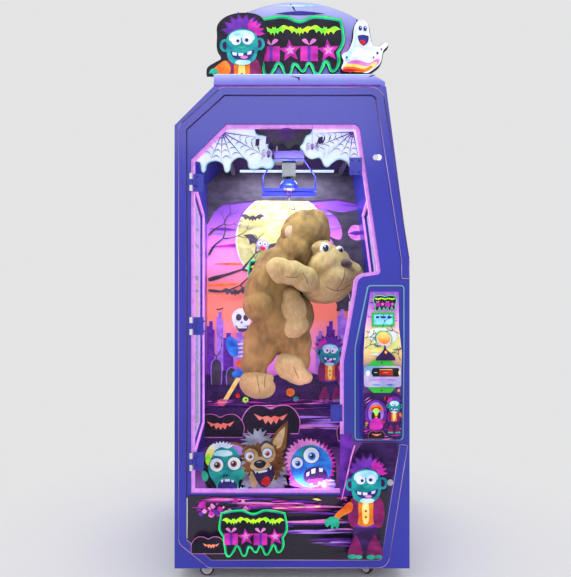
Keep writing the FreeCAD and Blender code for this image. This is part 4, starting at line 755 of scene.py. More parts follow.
def imp(legs=True):
    """A plain cartoon imp with a tuft of hair, a shirt and a waistcoat, about 250 tall, its feet at 0."""
    drawing = []
    if legs:
        drawing += [("night", sharp([(-34, 20), (30, 20), (34, 110), (-34, 110)])),
                    ("wine", [(-44, 8), (-40, 40), (-26, 66, 1), (-14, 40), (-12, 6)]),
                    ("wine", [(6, 8), (10, 44), (24, 66, 1), (38, 40), (42, 6)]),
                    ("sea", oval(-36, 7, 12, 6)), ("sea", oval(-18, 6, 9, 5)), ("sea", oval(14, 6, 12, 6)),
                    ("sea", oval(34, 7, 9, 5))]
    drawing += [("violet", [(-38, 92), (-44, 140), (-24, 168), (26, 168), (46, 138), (40, 92)]),
                ("orange", [(-22, 94), (-26, 140), (-12, 166), (16, 166), (26, 140), (20, 94)]),
                ("yellow", [(-6, 96), (-9, 140), (0, 160), (8, 140), (6, 96)]),
                ("wine", [(-40, 88), (-46, 140), (-26, 168), (-20, 140), (-24, 88)]),
                ("wine", [(42, 88), (48, 140), (28, 168), (20, 140), (24, 88)]),
                ("red", oval(0, 128, 3)), ("red", oval(0, 112, 3)),
                ("orange", [(-40, 152), (-62, 136), (-84, 114), (-78, 104), (-60, 116),
                            (-36, 130)] if legs else
                 [(-38, 160), (-58, 152), (-70, 138), (-62, 128), (-30, 130)]),
                ("sea", [(-78, 112), (-96, 112), (-108, 98), (-102, 86), (-94, 92), (-90, 80), (-82, 88),
                         (-76, 82),
                         (-70, 94), (-72, 106)] if legs else
                 [(-62, 140), (-76, 140), (-82, 128, 1), (-76, 130), (-72, 126, 1), (-66, 130),
                  (-58, 127, 1)]),
                ("night", spikes(2, 226, 60, 58, 180, 0, 8)), ("violet", spikes(2, 226, 54, 50, 175, 5, 8)),
                ("magenta", spikes(14, 226, 44, 42, 84, -6, 5)),
                ("teal", oval(-42, 198, 13, 16)), ("night", oval(-41, 198, 7, 10)),
                ("teal", oval(44, 202, 13, 16)), ("night", oval(43, 202, 7, 10)),
                ("teal", [(-34, 224), (-38, 196), (-34, 166), (-18, 152), (14, 152), (34, 166), (40, 198),
                          (34, 226),
                          (0, 240)]),
                ("ice", [(-26, 228), (-30, 210), (-10, 216), (14, 214), (30, 212), (26, 230), (0, 236)]),
                ("ice", [(-16, 154), (-8, 162), (12, 162), (22, 156), (8, 150)]),
                ("white", oval(-14, 210, 12, 11)), ("white", oval(14, 212, 13, 12)),
                ("navy", oval(-10, 209, 4)), ("navy", oval(12, 211, 4.5)),
                ("sea", [(-9, 200), (0, 194), (10, 200), (5, 190), (-4, 190)]),
                ("navy", [(-29, 184, 1), (0, 178), (32, 188, 1), (24, 168), (2, 162), (-20, 168)]),
                ("white", sharp([(-24, 181), (-12, 179), (-13, 172), (-22, 173)])),
                ("white", sharp([(-9, 179), (4, 178), (3, 171), (-8, 171)])),
                ("white", sharp([(14, 181), (25, 184), (23, 176), (14, 174)])),
                ("pink", oval(6, 168, 9, 4))]
    return drawing


def ghost():
    """A plain sheet ghost, about 240 tall, its hem at 0."""
    return [
        ("white", [(-8, 224), (-34, 196), (-42, 140), (-62, 96), (-92, 78), (-84, 52), (-92, 18), (-56, 6),
                   (-20, 14),
                   (20, 2), (56, 20), (84, 44), (98, 96), (118, 118), (104, 128), (76, 112), (52, 116),
                   (36, 160),
                   (26, 206)]),
        ("ice", [(-30, 186), (-36, 138), (-56, 92), (-78, 76), (-66, 50), (-46, 84), (-28, 120)]),
        ("pink", [(-70, 40), (-24, 56), (34, 44), (78, 62), (66, 34), (20, 16), (-40, 18)]),
        ("yellow", [(-82, 30), (-34, 40), (24, 30), (66, 48), (50, 22), (16, 10), (-30, 16)]),
        ("orange", [(-90, 20), (-44, 28), (10, 20), (46, 32), (34, 14), (8, 6), (-50, 8)]),
        ("red", [(-88, 14), (-50, 18), (-6, 14), (14, 8), (-20, 12), (-58, 6)]),
        ("navy", oval(-8, 188, 8, 10)), ("navy", oval(14, 186, 8, 10)), ("white", oval(-6, 191, 2.4)),
        ("white", oval(16, 189, 2.4)),
        ("navy", [(-20, 156, 1), (4, 160), (30, 154, 1), (26, 130), (6, 116), (-12, 130)]),
        ("red", [(-10, 134), (4, 138), (16, 128), (5, 119)]),
        ("navy", oval(70, 84, 5, 6)), ("navy", oval(88, 100, 3.5, 4)), ("navy", oval(52, 66, 3.2, 4)),
        ("navy", oval(-70, 66, 4, 5)),
    ]


# ---------------------------------------------------------------- operators for the printed boards
class CRANE_OT_backdrop_art(bpy.types.Operator):
    """The backdrop: sky, moon, trees, bats, city, graves and striped ground"""

    bl_idname = "crane.backdrop_art"
    bl_label = "Backdrop"

    def execute(self, context):
        low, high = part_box("backdrop_panel")
        dress("backdrop_panel", [printed("backdrop_sky", [
            (0.0, (0.03, 0.01, 0.10)), (0.20, (0.62, 0.12, 0.80)), (0.36, (1.0, 0.34, 0.62)),
            (0.46, (1.0, 0.24, 0.15)),
            (0.58, (1.0, 0.22, 0.16)), (0.66, (1.0, 0.30, 0.75)), (0.76, (0.80, 0.22, 0.85)),
            (0.84, (0.24, 0.06, 0.52)),
            (1.0, (0.05, 0.02, 0.16))],
            "Z", low.z, high.z, 0.10, 2.2, 0.4, 0.30, (0.5, 1, 2.6))])
        y = low.y / MM
        dice = random.Random(11)
        radius = look().moon / MM
        drawing = streaks(5, 26, -470, 470, 1560, 1900, 150, 13, ["violet", "lilac", "magenta"], 10)
        drawing += streaks(6, 14, -470, 470, 1330, 1560, 120, 9, ["coral", "pink", "orange"], 6)
        drawing += [("white", oval(-28, 1613, radius * 1.03, count=16)),
                    ("moon", oval(-28, 1613, radius, count=16)),
                    ("white", lens(-60, 1430, 190, 22, 10)), ("white", lens(30, 1745, 110, 8)),
                    ("yellow", oval(-120, 1560, 40, 26)), ("yellow", oval(60, 1600, 52, 34))]
        drawing += [("slate", [(300, 1180, 1), (330, 1420), (300, 1560), (250, 1640, 1), (330, 1620),
                               (300, 1750),
                               (220, 1800, 1), (340, 1780), (482, 1810, 1), (482, 1180, 1)]),
                    ("slate", sharp([(-482, 1900), (-482, 1700), (-440, 1780), (-380, 1830), (-200, 1850),
                                     (120, 1846), (300, 1860), (482, 1820), (482, 2020), (-482, 2020)])),
                    ("pink", [(372, 1660), (400, 1700), (450, 1690), (470, 1640), (440, 1610),
                              (390, 1620)]),
                    ("violet", lens(420, 1650, 50, 16))]
        for x, z, angle, length, width in ((-470, 1370, 0.30, 210, 22), (-470, 1305, 0.16, 190, 15),
                                           (-470, 1520, 0.85, 130, 14), (-470, 1640, 0.62, 110, 12),
                                           (-120, 1470, 0.35, 120, 9), (120, 1690, 2.2, 120, 10),
                                           (482, 1420, 2.7, 120, 12), (330, 1180, 1.9, 120, 12)):
            drawing += twig(dice, "slate", x, z, angle, length, width, 3)
        for x, z, scale, turn in ((-205, 1735, 1.5, 0.0), (-310, 1290, 1.7, 0.05), (-30, 1440, 0.9, -0.2),
                                  (-400, 1190, 0.5, 0.2)):
            drawing += [("slate", placed(BAT, x, z, scale, turn))]
        drawing += moved([("slate", placed(BAT, 0, 0, 2.2, -0.35)), ("grey", oval(2, 6, 34, 33)),
                          ("white", oval(-12, 14, 12)), ("white", oval(15, 10, 11)),
                          ("navy", oval(-9, 13, 5)),
                          ("navy", oval(15, 9, 5)), ("red", [(-10, -8), (18, -10), (6, -24)]),
                          ("pink", oval(5, 0, 4))], -148, 1570, 1.15)
        drawing += emblem(-70, 1395, 2.9)
        for x, wide, top, color in ((-455, 46, 1120, "violet"), (-400, 40, 1175, "lilac"),
                                    (-350, 60, 1050, "violet"),
                                    (-280, 44, 1080, "lilac"), (-215, 60, 1010, "violet"),
                                    (200, 52, 1060, "lilac"),
                                    (262, 50, 1120, "violet"), (330, 56, 1190, "lilac"),
                                    (392, 48, 1110, "violet"),
                                    (450, 46, 1210, "lilac")):
            drawing.append((color, sharp([(x - wide / 2, 760), (x + wide / 2, 760),
                                          (x + wide / 2, top - 50),
                                          (x + wide / 4, top - 50), (x + wide / 4, top),
                                          (x - wide / 5, top),
                                          (x - wide / 5, top - 30), (x - wide / 2, top - 30)])))
        drawing += [("night", [(-482, 540, 1), (-482, 800, 1), (-300, 832), (-120, 790), (60, 824),
                               (260, 790),
                               (482, 830, 1), (482, 540, 1)])]
        for x, top in ((-420, 890), (-330, 840), (-240, 872), (250, 868), (340, 902), (420, 860)):
            drawing += [("lilac", [(x - 30, 740, 1), (x - 32, top - 20), (x, top + 8), (x + 32, top - 20),
                                   (x + 30, 740, 1)]),
                        ("slate", [(x - 26, 740, 1), (x - 27, top - 24), (x, top), (x + 27, top - 24),
                                   (x + 26, 740, 1)])]
        for x, z, angle in ((-440, 800, 1.4), (-200, 800, 1.9), (300, 810, 1.2), (380, 800, 1.8),
                            (200, 790, 1.6)):
            drawing += twig(dice, "slate", x, z, angle, 110, 10, 3)
        drawing += moved(imp(), 255, 640, 1.45, 0.0, -1.0)
        drawing += moved([("white", [(-40, 20), (-44, 60), (-10, 88), (34, 72), (44, 30), (20, -6),
                                     (-20, -6)]),
                          ("ice", [(-36, 14), (-10, 4), (24, 8), (34, 24), (14, -6), (-22, -6)]),
                          ("slate", oval(-14, 46, 14, 16)), ("slate", oval(20, 44, 12, 15)),
                          ("slate", sharp([(0, 30), (6, 18), (-6, 18)])),
                          ("slate", [(-30, 8, 1), (0, -2), (34, 10, 1), (20, -18), (-12, -20)]),
                          ("white", sharp([(-20, 2), (26, 2), (24, -6), (-18, -6)]))], -268, 1085, 1.25)
        for k in range(4):
            drawing.append(("white", lens(-262, 985 - k * 24, 46 - k * 4, 7, 4)))
        drawing += [("blue", [(-360, 1000), (-330, 1030), (-290, 980), (-300, 910), (-340, 930)]),
                    ("orange", [(-300, 880, 1), (-230, 900), (-220, 860), (-290, 850)]),
                    ("blue", [(-320, 820), (-250, 826), (-246, 790), (-310, 786)]),
                    ("yellow", sharp([(-300, 786), (-270, 786), (-360, 640), (-380, 652)])),
                    ("orange", oval(-385, 640, 26, 20)), ("lime", oval(-245, 655, 18)),
                    ("slate", oval(-242, 657, 6)),
                    ("orange", oval(20, 700, 26, 24)), ("sea", oval(52, 660, 16)),
                    ("red", oval(-290, 680, 14)),
                    ("sea", [(-20, 900), (30, 880), (50, 800), (10, 770), (-30, 820)]),
                    ("coral", [(-10, 960), (30, 990), (66, 950), (40, 900)])]
        drawing += streaks(9, 40, -470, 470, 600, 660, 90, 5, ["magenta", "pink", "violet"], 4)
        drawing += [("night", sharp([(-482, 380), (482, 380), (482, 600), (-482, 612)]))]
        drawing += streaks(10, 16, -60, 460, 470, 600, 170, 9, ["lilac", "pink", "violet"], 3)
        drawing += pumpkin(-95, 462, 3.2) + pumpkin(-390, 440, 2.6) + pumpkin(420, 420, 2.4)
        left, foot, right, top = low.x / MM + 1, low.z / MM + 1, high.x / MM - 1, high.z / MM - 1
        drawing = [(color, [(min(max(x, left), right), min(max(z, foot), top), *rest) for x, z,
                            *rest in outline])
                   for color, outline in drawing]
        print_art("backdrop_print", y, drawing, "cabinet")
        return {"FINISHED"}


class CRANE_OT_web_boards(bpy.types.Operator):
    """The cut-out webs in the upper corners and the dark web between them"""

    bl_idname = "crane.web_boards"
    bl_label = "Webs"

    def execute(self, context):
        low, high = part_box("web_cutouts")
        y = low.y / MM
        thick = (high.y - low.y) / MM
        drawing = [("ice", rim(WEB_LEFT, -1)), ("web", rim(WEB_LEFT, -7)), ("ice", rim(WEB_RIGHT, -1)),
                   ("web", rim(WEB_RIGHT, -7)), ("slate", WEB_CENTRE)]
        for board, hub_x, hub_z, angles, reach, color in (
                (WEB_LEFT, -300, 1936, (-176, -155, -134, -113, -92, -71, -50, -29, -8), 250, "violet"),
                (WEB_RIGHT, 262, 1934, (-178, -158, -138, -118, -98, -78), 230, "violet"),
                (WEB_CENTRE, -24, 1950, (-160, -125, -90, -55, -20), 84, "violet")):
            spans = []
            for angle in angles:
                dx, dz = math.cos(math.radians(angle)), math.sin(math.radians(angle))
                span = reach
                while span > 24 and not inside((hub_x + dx * (span + 3), hub_z + dz * (span + 3)), board):
                    span -= 4
                spans.append((dx, dz, span))
                drawing.append((color, [(hub_x - dz * 2.6, hub_z + dx * 2.6, 1),
                                        (hub_x + dx * span, hub_z + dz * span, 1),
                                        (hub_x + dz * 2.6, hub_z - dx * 2.6, 1)]))
            for first, second in zip(spans, spans[1:]):
                for ring in range(1, 8):
                    near = reach * ring / 8
                    if near > min(first[2], second[2]):
                        continue
                    (x0, z0), (x2, z2) = [(hub_x + near * dx, hub_z + near * dz) for dx, dz,
                                          _ in (first, second)]
                    x1, z1 = ((x0 + x2) / 2 * 0.86 + hub_x * 0.14, (z0 + z2) / 2 * 0.86 + hub_z * 0.14)
                    drawing.append((color, [(x0, z0, 1), (x1, z1), (x2, z2, 1), (x1, z1 + 4.0)]))
        for x, z, scale in ((-100, 1838, 1.0), (86, 1868, 0.85)):
            spider = [("lilac", oval(0, 0, 9, 13)), ("violet", oval(0, -13, 6, 6)),
                      ("violet", sharp([(-1, 12), (1, 12), (1, 110), (-1, 110)]))]
            for k in range(4):
                for side in (-1, 1):
                    spider.append(("violet", [(side * 5, 6 - k * 5, 1), (side * 22, 16 - k * 10),
                                              (side * 34, -8 - k * 9, 1), (side * 21, 12 - k * 10)]))
            drawing += moved(spider, x, z, scale)
        for x, z in ((-148, 1882), (-104, 1890), (122, 1890)):
            drawing.append(("night", [(x - 9, z - 16, 1), (x - 7, z + 14, 1), (x + 9, z + 18, 1),
                                      (x + 9, z - 12, 1)]))
        web = print_art("web_prints", y, drawing, "cabinet",
                        board=(thick, [WEB_LEFT, WEB_RIGHT, WEB_CENTRE]))
        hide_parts("web_cutouts")
        return {"FINISHED"}


def inside(place, outline):
    """Whether a place lies inside an outline."""
    x, z = place
    result = False
    for a, b in zip(outline, outline[1:] + outline[:1]):
        if (a[1] > z) != (b[1] > z) and x < (b[0] - a[0]) * (z - a[1]) / (b[1] - a[1]) + a[0]:
            result = not result
    return result


WEB_LEFT = [(-416, 1826, 1), (-416, 1812), (-398, 1806), (-390, 1768), (-378, 1762), (-370, 1772),
            (-362, 1800),
            (-330, 1812), (-300, 1800), (-290, 1768), (-278, 1762), (-266, 1774), (-258, 1806),
            (-230, 1826),
            (-196, 1816), (-186, 1782), (-160, 1774), (-130, 1784), (-104, 1776), (-84, 1782), (-74, 1806),
            (-86, 1830), (-84, 1852), (-102, 1872), (-96, 1900), (-110, 1920), (-150, 1930),
            (-160, 1956, 1),
            (-298, 1956, 1)]
WEB_RIGHT = [(88, 1956, 1), (80, 1934), (56, 1918), (46, 1890), (34, 1872), (46, 1856), (58, 1836),
             (84, 1820),
             (120, 1824), (140, 1790), (158, 1786), (172, 1800), (204, 1818), (236, 1806), (250, 1780),
             (262, 1762),
             (276, 1764), (284, 1784), (298, 1796, 1), (298, 1890, 1), (284, 1956, 1)]
WEB_CENTRE = [(-150, 1956, 1), (-104, 1922), (-92, 1896), (-70, 1878), (-40, 1890), (-14, 1868), (14, 1886),
              (40, 1884), (60, 1920), (86, 1956, 1)]


class CRANE_OT_topper_art(bpy.types.Operator):
    """The topper: stone boards with cracks, the lit emblem and the two cut-out figures"""

    bl_idname = "crane.topper_art"
    bl_label = "Topper"

    def execute(self, context):
        boards = [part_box(name) for name in ("topper_boards", "topper_sign", "topper_figures",
                                            "topper_base")]
        (stone_low, stone_high), (sign_low, sign_high), (figures_low, figures_high), (base_low, _) = boards
        foot = stone_low.z / MM
        crown = stone_high.z / MM
        crack = [("night", sharp([(-10, crown - 14), (6, crown - 20), (14, crown - 38), (22, crown - 50),
                                  (8, crown - 40), (0, crown - 26)])),
                 ("navy", [(-30, 2410, 1), (60, 2432), (150, 2408, 1), (60, 2412)]),
                 ("night", sharp([(20, foot + 60), (26, foot + 20), (34, foot + 64)])),
                 ("ice", lens(40, crown - 24, 120, 5)), ("navy", lens(36, crown - 58, 110, 12)),
                 ("lilac", lens(-150, 2330, 26, 60)), ("lilac", lens(232, 2300, 20, 70))]
        print_art("stone_cracks", stone_low.y / MM, crack, "cabinet")
        base = [("night", sharp([(-10, 2166), (34, 2160), (30, 2142), (24, 2156)])),
                ("magenta", oval(256, 2125, 26, 6)), ("night", lens(340, 2166, 16, 3, 6)),
                ("violet", sharp([(-333, 2121), (-333, 2128), (376, 2128), (380, 2121)])),
                ("ice", sharp([(-333, 2170), (-333, 2173), (330, 2173), (340, 2170)]))]
        print_art("ledge_cracks", base_low.y / MM, base, "cabinet")
        middle_x = (sign_low.x + sign_high.x) / 2 / MM
        scale = (sign_high.x - sign_low.x) / MM / 114
        middle_z = foot + 45 * scale
        sign = print_art("lit_emblem", sign_low.y / MM, emblem(middle_x, middle_z, scale), "cabinet",
                         board=((sign_high.y - sign_low.y) / MM, [placed(rim(DRIP, 4.5), middle_x, middle_z,
                                 scale)]))
        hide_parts("topper_sign")
        thick = (figures_high.y - figures_low.y) / MM
        left = imp(False)
        left_x, left_scale = -214, 1.72
        left_z = figures_high.z / MM - 279 * left_scale
        outline_left = [(-58, 99, 1), (-88, 124, 1), (-86, 144), (-66, 158), (-52, 168), (-62, 190),
                        (-62, 220),
                        (-60, 252), (-34, 274), (8, 281), (46, 272), (62, 242), (62, 200), (54, 170),
                        (48, 130),
                        (46, 99, 1)]
        left_board = [(x * left_scale + left_x, max(z * left_scale + left_z, foot), *rest)
                      for x, z, *rest in outline_left]
        left_drawing = [(color, [(x, max(z, foot - 30), *rest) for x, z, *rest in outline])
                        for color, outline in moved(left, left_x, left_z, left_scale)]
        ghost_scale = (figures_high.x - 0.205) / MM / 222
        ghost_x = figures_high.x / MM - 118 * ghost_scale - 4
        ghost_drawing = moved(ghost(), ghost_x, foot + 2, ghost_scale)
        ghost_drawing = [(color, [(x, foot + (z - foot) * 1.10, *rest) for x, z, *rest in outline])
                         for color, outline in ghost_drawing]
        ghost_board = [(x, max(z, foot)) for x, z in rim(ghost_drawing[0][1], 4)]
        figures = print_art("topper_cut_outs", figures_low.y / MM, left_drawing + ghost_drawing, "cabinet",
                            board=(thick, [left_board, ghost_board]))
        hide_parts("topper_figures")
        return {"FINISHED"}


class CRANE_OT_door_art(bpy.types.Operator):
    """The lower door's print: ground, emblem, pumpkin and figure"""

    bl_idname = "crane.door_art"
    bl_label = "Lower door"

    def execute(self, context):
        low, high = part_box("lower_door")
        dress("lower_door", [printed("door_ground", [(0.0, (0.014, 0.010, 0.022)),
                                                     (0.55, (0.022, 0.012, 0.045)),
                                                     (0.8, (0.07, 0.015, 0.16)), (1.0, (0.20, 0.03, 0.40))],
                                     "Z", low.z, high.z, 0.25, 3.0, 0.25, 0.0, (0.4, 1, 2))])
        drawing = [("violet", sharp([(255, 380), (255, 642), (203, 642), (203, 380)])),
                   ("night", [(258, 400, 1), (262, 540), (300, 606, 1), (448, 606, 1), (440, 500),
                              (400, 400, 1)])]
        drawing += streaks(21, 30, -420, 230, 316, 376, 120, 7, ["magenta", "violet", "pink", "magenta"], 4)
        drawing += streaks(22, 34, -400, -180, 300, 360, 14, 16, ["magenta", "pink", "violet"], 4)
        drawing += streaks(23, 12, -90, 120, 330, 372, 80, 6, ["yellow", "pink", "magenta"], 3)
        drawing += streaks(24, 26, -60, 300, 190, 330, 170, 8, ["lilac", "violet", "pink", "violet"], 4)
        drawing += streaks(25, 18, 120, 380, 120, 250, 120, 5, ["night", "violet", "night"], 4)
        drawing += [(color, [(max(x, -436), z, *rest) for x, z, *rest in outline])
                    for color, outline in pumpkin(-352, 150, 1.35)[:2]]
        drawing.append(("coral", placed(GRIN, -340, 182, 0.7)))
        drawing += emblem(-164, 248, 2.55)
        drawing += moved(imp(), 306, 128, 1.58, 0.0, 1.0)
        drawing += [("pink", sharp([(203, 380), (206, 380), (248, 560), (262, 606), (256, 606),
                                    (242, 560)]))]
        print_art("door_print", low.y / MM, drawing, "service_door")
        return {"FINISHED"}


def fluffy(x, z, rx, rz, count, seed, depth=0.16):
    """A ragged furry outline."""
    dice = random.Random(seed)
    loop = []
    for i in range(count * 2):
        reach = 1.0 if i % 2 else 1.0 - depth * dice.uniform(0.6, 1.3)
        angle = math.tau * (i + dice.uniform(-0.25, 0.25)) / (count * 2)
        loop.append((x + rx * reach * math.cos(angle), z + rz * reach * math.sin(angle), 1))
    return loop


def eye(x, z, radius, iris, look_x=0.0, look_z=0.0):
    """A round cartoon eye whose iris is off centre by its look."""
    return [("navy", oval(x, z, radius * 1.1)), ("white", oval(x, z, radius)),
            (iris, oval(x + look_x, z + look_z, radius * 0.5)), ("black",
                    oval(x + look_x, z + look_z, radius * 0.28)),
            ("white", oval(x + look_x - radius * 0.15, z + look_z + radius * 0.18, radius * 0.12))]


class CRANE_OT_standees(bpy.types.Operator):
    """Three plain cartoon heads on cut-out boards that stand on the prize deck"""

    bl_idname = "crane.standees"
    bl_label = "Standees"

    def execute(self, context):
        low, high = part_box("floor_standees")
        y, thick, foot = low.y / MM, (high.y - low.y) / MM, low.z / MM
        left, right = low.x / MM, high.x / MM
        teal = [("sea", [(-368, 470), (-384, 476), (-387, 452), (-374, 430), (-360, 446)]),
                ("sea", [(-222, 478), (-208, 480), (-206, 456), (-216, 438), (-228, 446)]),
                ("teal", [(-362, 520), (-352, 566), (-300, 586), (-246, 568), (-222, 520), (-222, 460),
                          (-232, 416),
                          (-248, 384), (-312, 384), (-330, 420), (-356, 462)]),
                ("ice", [(-338, 548), (-300, 566), (-256, 552), (-286, 538), (-310, 540)]),
                ("yellow", [(-372, 532), (-362, 572), (-338, 592), (-310, 584), (-330, 566), (-350, 530)]),
                ("lime", [(-372, 520), (-360, 552), (-350, 530), (-356, 500)]),
                ("white", spikes(-300, 566, 62, 40, 170, 30, 9)),
                ("navy", oval(-292, 456, 5, 8)), ("navy", oval(-280, 456, 4, 7)),
                ("sea", [(-350, 476), (-300, 470), (-322, 462)]), ("sea",
                        [(-262, 474), (-224, 484), (-240, 468)]),
                ("sea", rim(oval(-277, 412, 42, 33), 6)), ("navy", oval(-277, 411, 42, 33)),
                ("magenta", [(-300, 392), (-278, 402), (-254, 392), (-276, 382)]),
                ("white", sharp([(-306, 438), (-294, 441), (-297, 428), (-304, 427)])),
                ("white", sharp([(-290, 442), (-266, 443), (-267, 432), (-288, 431)])),
                ("white", sharp([(-261, 441), (-248, 436), (-252, 426), (-260, 430)]))]
        teal += eye(-324, 503, 29, "brown", 3, -1) + eye(-248, 509, 28, "brown", -2, 0)
        pup = [("grey", fluffy(-150, 600, 78, 60, 16, 4, 0.4)),
               ("brown", [(-96, 566), (-70, 640), (-16, 690, 1), (-22, 620), (-36, 560)]),
               ("tan", [(-84, 580), (-62, 632), (-28, 666, 1), (-36, 612), (-52, 574)]),
               ("brown", [(-196, 560), (-236, 596), (-304, 596, 1), (-270, 560), (-226, 530)]),
               ("lilac", [(-206, 562), (-240, 586), (-282, 588, 1), (-252, 558), (-224, 540)]),
               ("grey", fluffy(-128, 474, 112, 104, 26, 8)), ("brown", fluffy(-120, 510, 98, 92, 22, 5)),
               ("tan", fluffy(-128, 440, 60, 60, 18, 6)), ("grey", fluffy(-92, 404, 66, 30, 16, 12)),
               ("tan", [(-128, 588), (-100, 596), (-72, 560), (-80, 520), (-116, 512), (-130, 548)]),
               ("tan", [(-200, 560), (-176, 572), (-150, 556), (-150, 520), (-188, 512), (-206, 536)]),
               ("brown", [(-216, 560), (-190, 584), (-158, 576), (-160, 568), (-190, 572), (-210, 552)]),
               ("slate", [(-142, 582), (-112, 606), (-78, 588), (-82, 582), (-112, 594), (-136, 576)]),
               ("tan", [(-176, 508), (-140, 536), (-100, 512), (-92, 484), (-136, 474), (-176, 484)]),
               ("night", [(-172, 478, 1), (-136, 470), (-84, 502, 1), (-74, 462), (-98, 414), (-126, 404),
                          (-152, 432)]),
               ("red", [(-132, 424), (-108, 450), (-92, 434), (-108, 410)]),
               ("white", sharp([(-162, 475), (-148, 473), (-156, 462)])),
               ("white", sharp([(-98, 490), (-86, 498), (-90, 478)])),
               ("white", sharp([(-146, 472), (-106, 480), (-108, 472), (-144, 464)])),
               ("black", [(-164, 508), (-140, 522), (-112, 512), (-120, 492), (-140, 486), (-158, 494)]),
               ("grey", lens(-142, 512, 12, 3))]
        pup += eye(-182, 538, 19, "orange", 3, -2) + eye(-106, 552, 21, "orange", 1, -2)
        blue = [("magenta", fluffy(80, 500, 116, 112, 34, 9)), ("pink", fluffy(66, 520, 100, 96, 30, 10)),
                ("violet", fluffy(90, 420, 104, 44, 24, 13)), ("blue", oval(84, 492, 90, 92, 14)),
                ("teal", [(30, 540), (50, 572), (100, 578), (70, 560), (44, 530)]),
                ("navy", rim(oval(104, 448, 50, 38), 3)), ("night", oval(104, 448, 50, 38)),
                ("magenta", [(66, 424), (100, 436), (140, 432), (112, 412)]),
                ("white", sharp([(64, 462), (78, 470), (76, 452), (66, 448)])),
                ("white", sharp([(84, 478), (104, 484), (102, 462), (86, 458)])),
                ("white", sharp([(118, 486), (136, 482), (134, 468), (120, 468)])),
                ("white", oval(122, 418, 7, 6)), ("white", oval(86, 412, 6, 5)),
                ("lilac", fluffy(160, 412, 34, 28, 12, 14)), ("ice", lens(172, 430, 18, 4)),
                ("ice", lens(174, 414, 18, 4)), ("ice", lens(172, 398, 18, 4))]
        blue += eye(24, 507, 24, "blue", 3, -3) + eye(85, 540, 34, "blue", 2, -4)
        tufts = streaks(31, 22, left + 10, right - 10, foot, foot + 16, 40, 7, ["lilac", "pink", "violet"],
                        4)
        tufts += [("ice", spikes(-212, foot, 46, 34, 165, 15, 8))]
        drawing = [(color, [(min(max(x, left), right), max(z, foot), *rest) for x, z, *rest in outline])
                   for color, outline in blue + pup + teal + tufts]
        boards = [[(-360, foot, 1), (-386, 452), (-372, 540), (-340, 594), (-256, 582), (-220, 520),
                   (-230, foot, 1)],
                  [(-236, foot, 1), (-236, 520), (-200, 560), (-180, 640), (-120, 652), (-90, 600),
                   (-20, 680),
                   (-24, 540), (-10, 440), (-10, foot, 1)],
                  [(-8, foot, 1), (-30, 480), (0, 580), (80, 608), (160, 580), (192, 500), (190, foot, 1)]]
        piece = print_art("standee_boards", y, drawing, "cabinet", board=(thick / 4, boards),
                          step=0.3)
        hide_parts("floor_standees")
        return {"FINISHED"}


# Height and front face of the control plate at its folds, in millimetres.
PLATE_LINE = [(627, -502.5), (991, -529.7), (1093, -482.7), (1247, -478.5)]


def plate_front(z):
    """How far forward the folded control plate's face is at a height, both in millimetres."""
    for (z0, y0), (z1, y1) in zip(PLATE_LINE, PLATE_LINE[1:]):
        if z <= z1 or z1 == PLATE_LINE[-1][0]:
            return y0 + (y1 - y0) * (z - z0) / (z1 - z0)


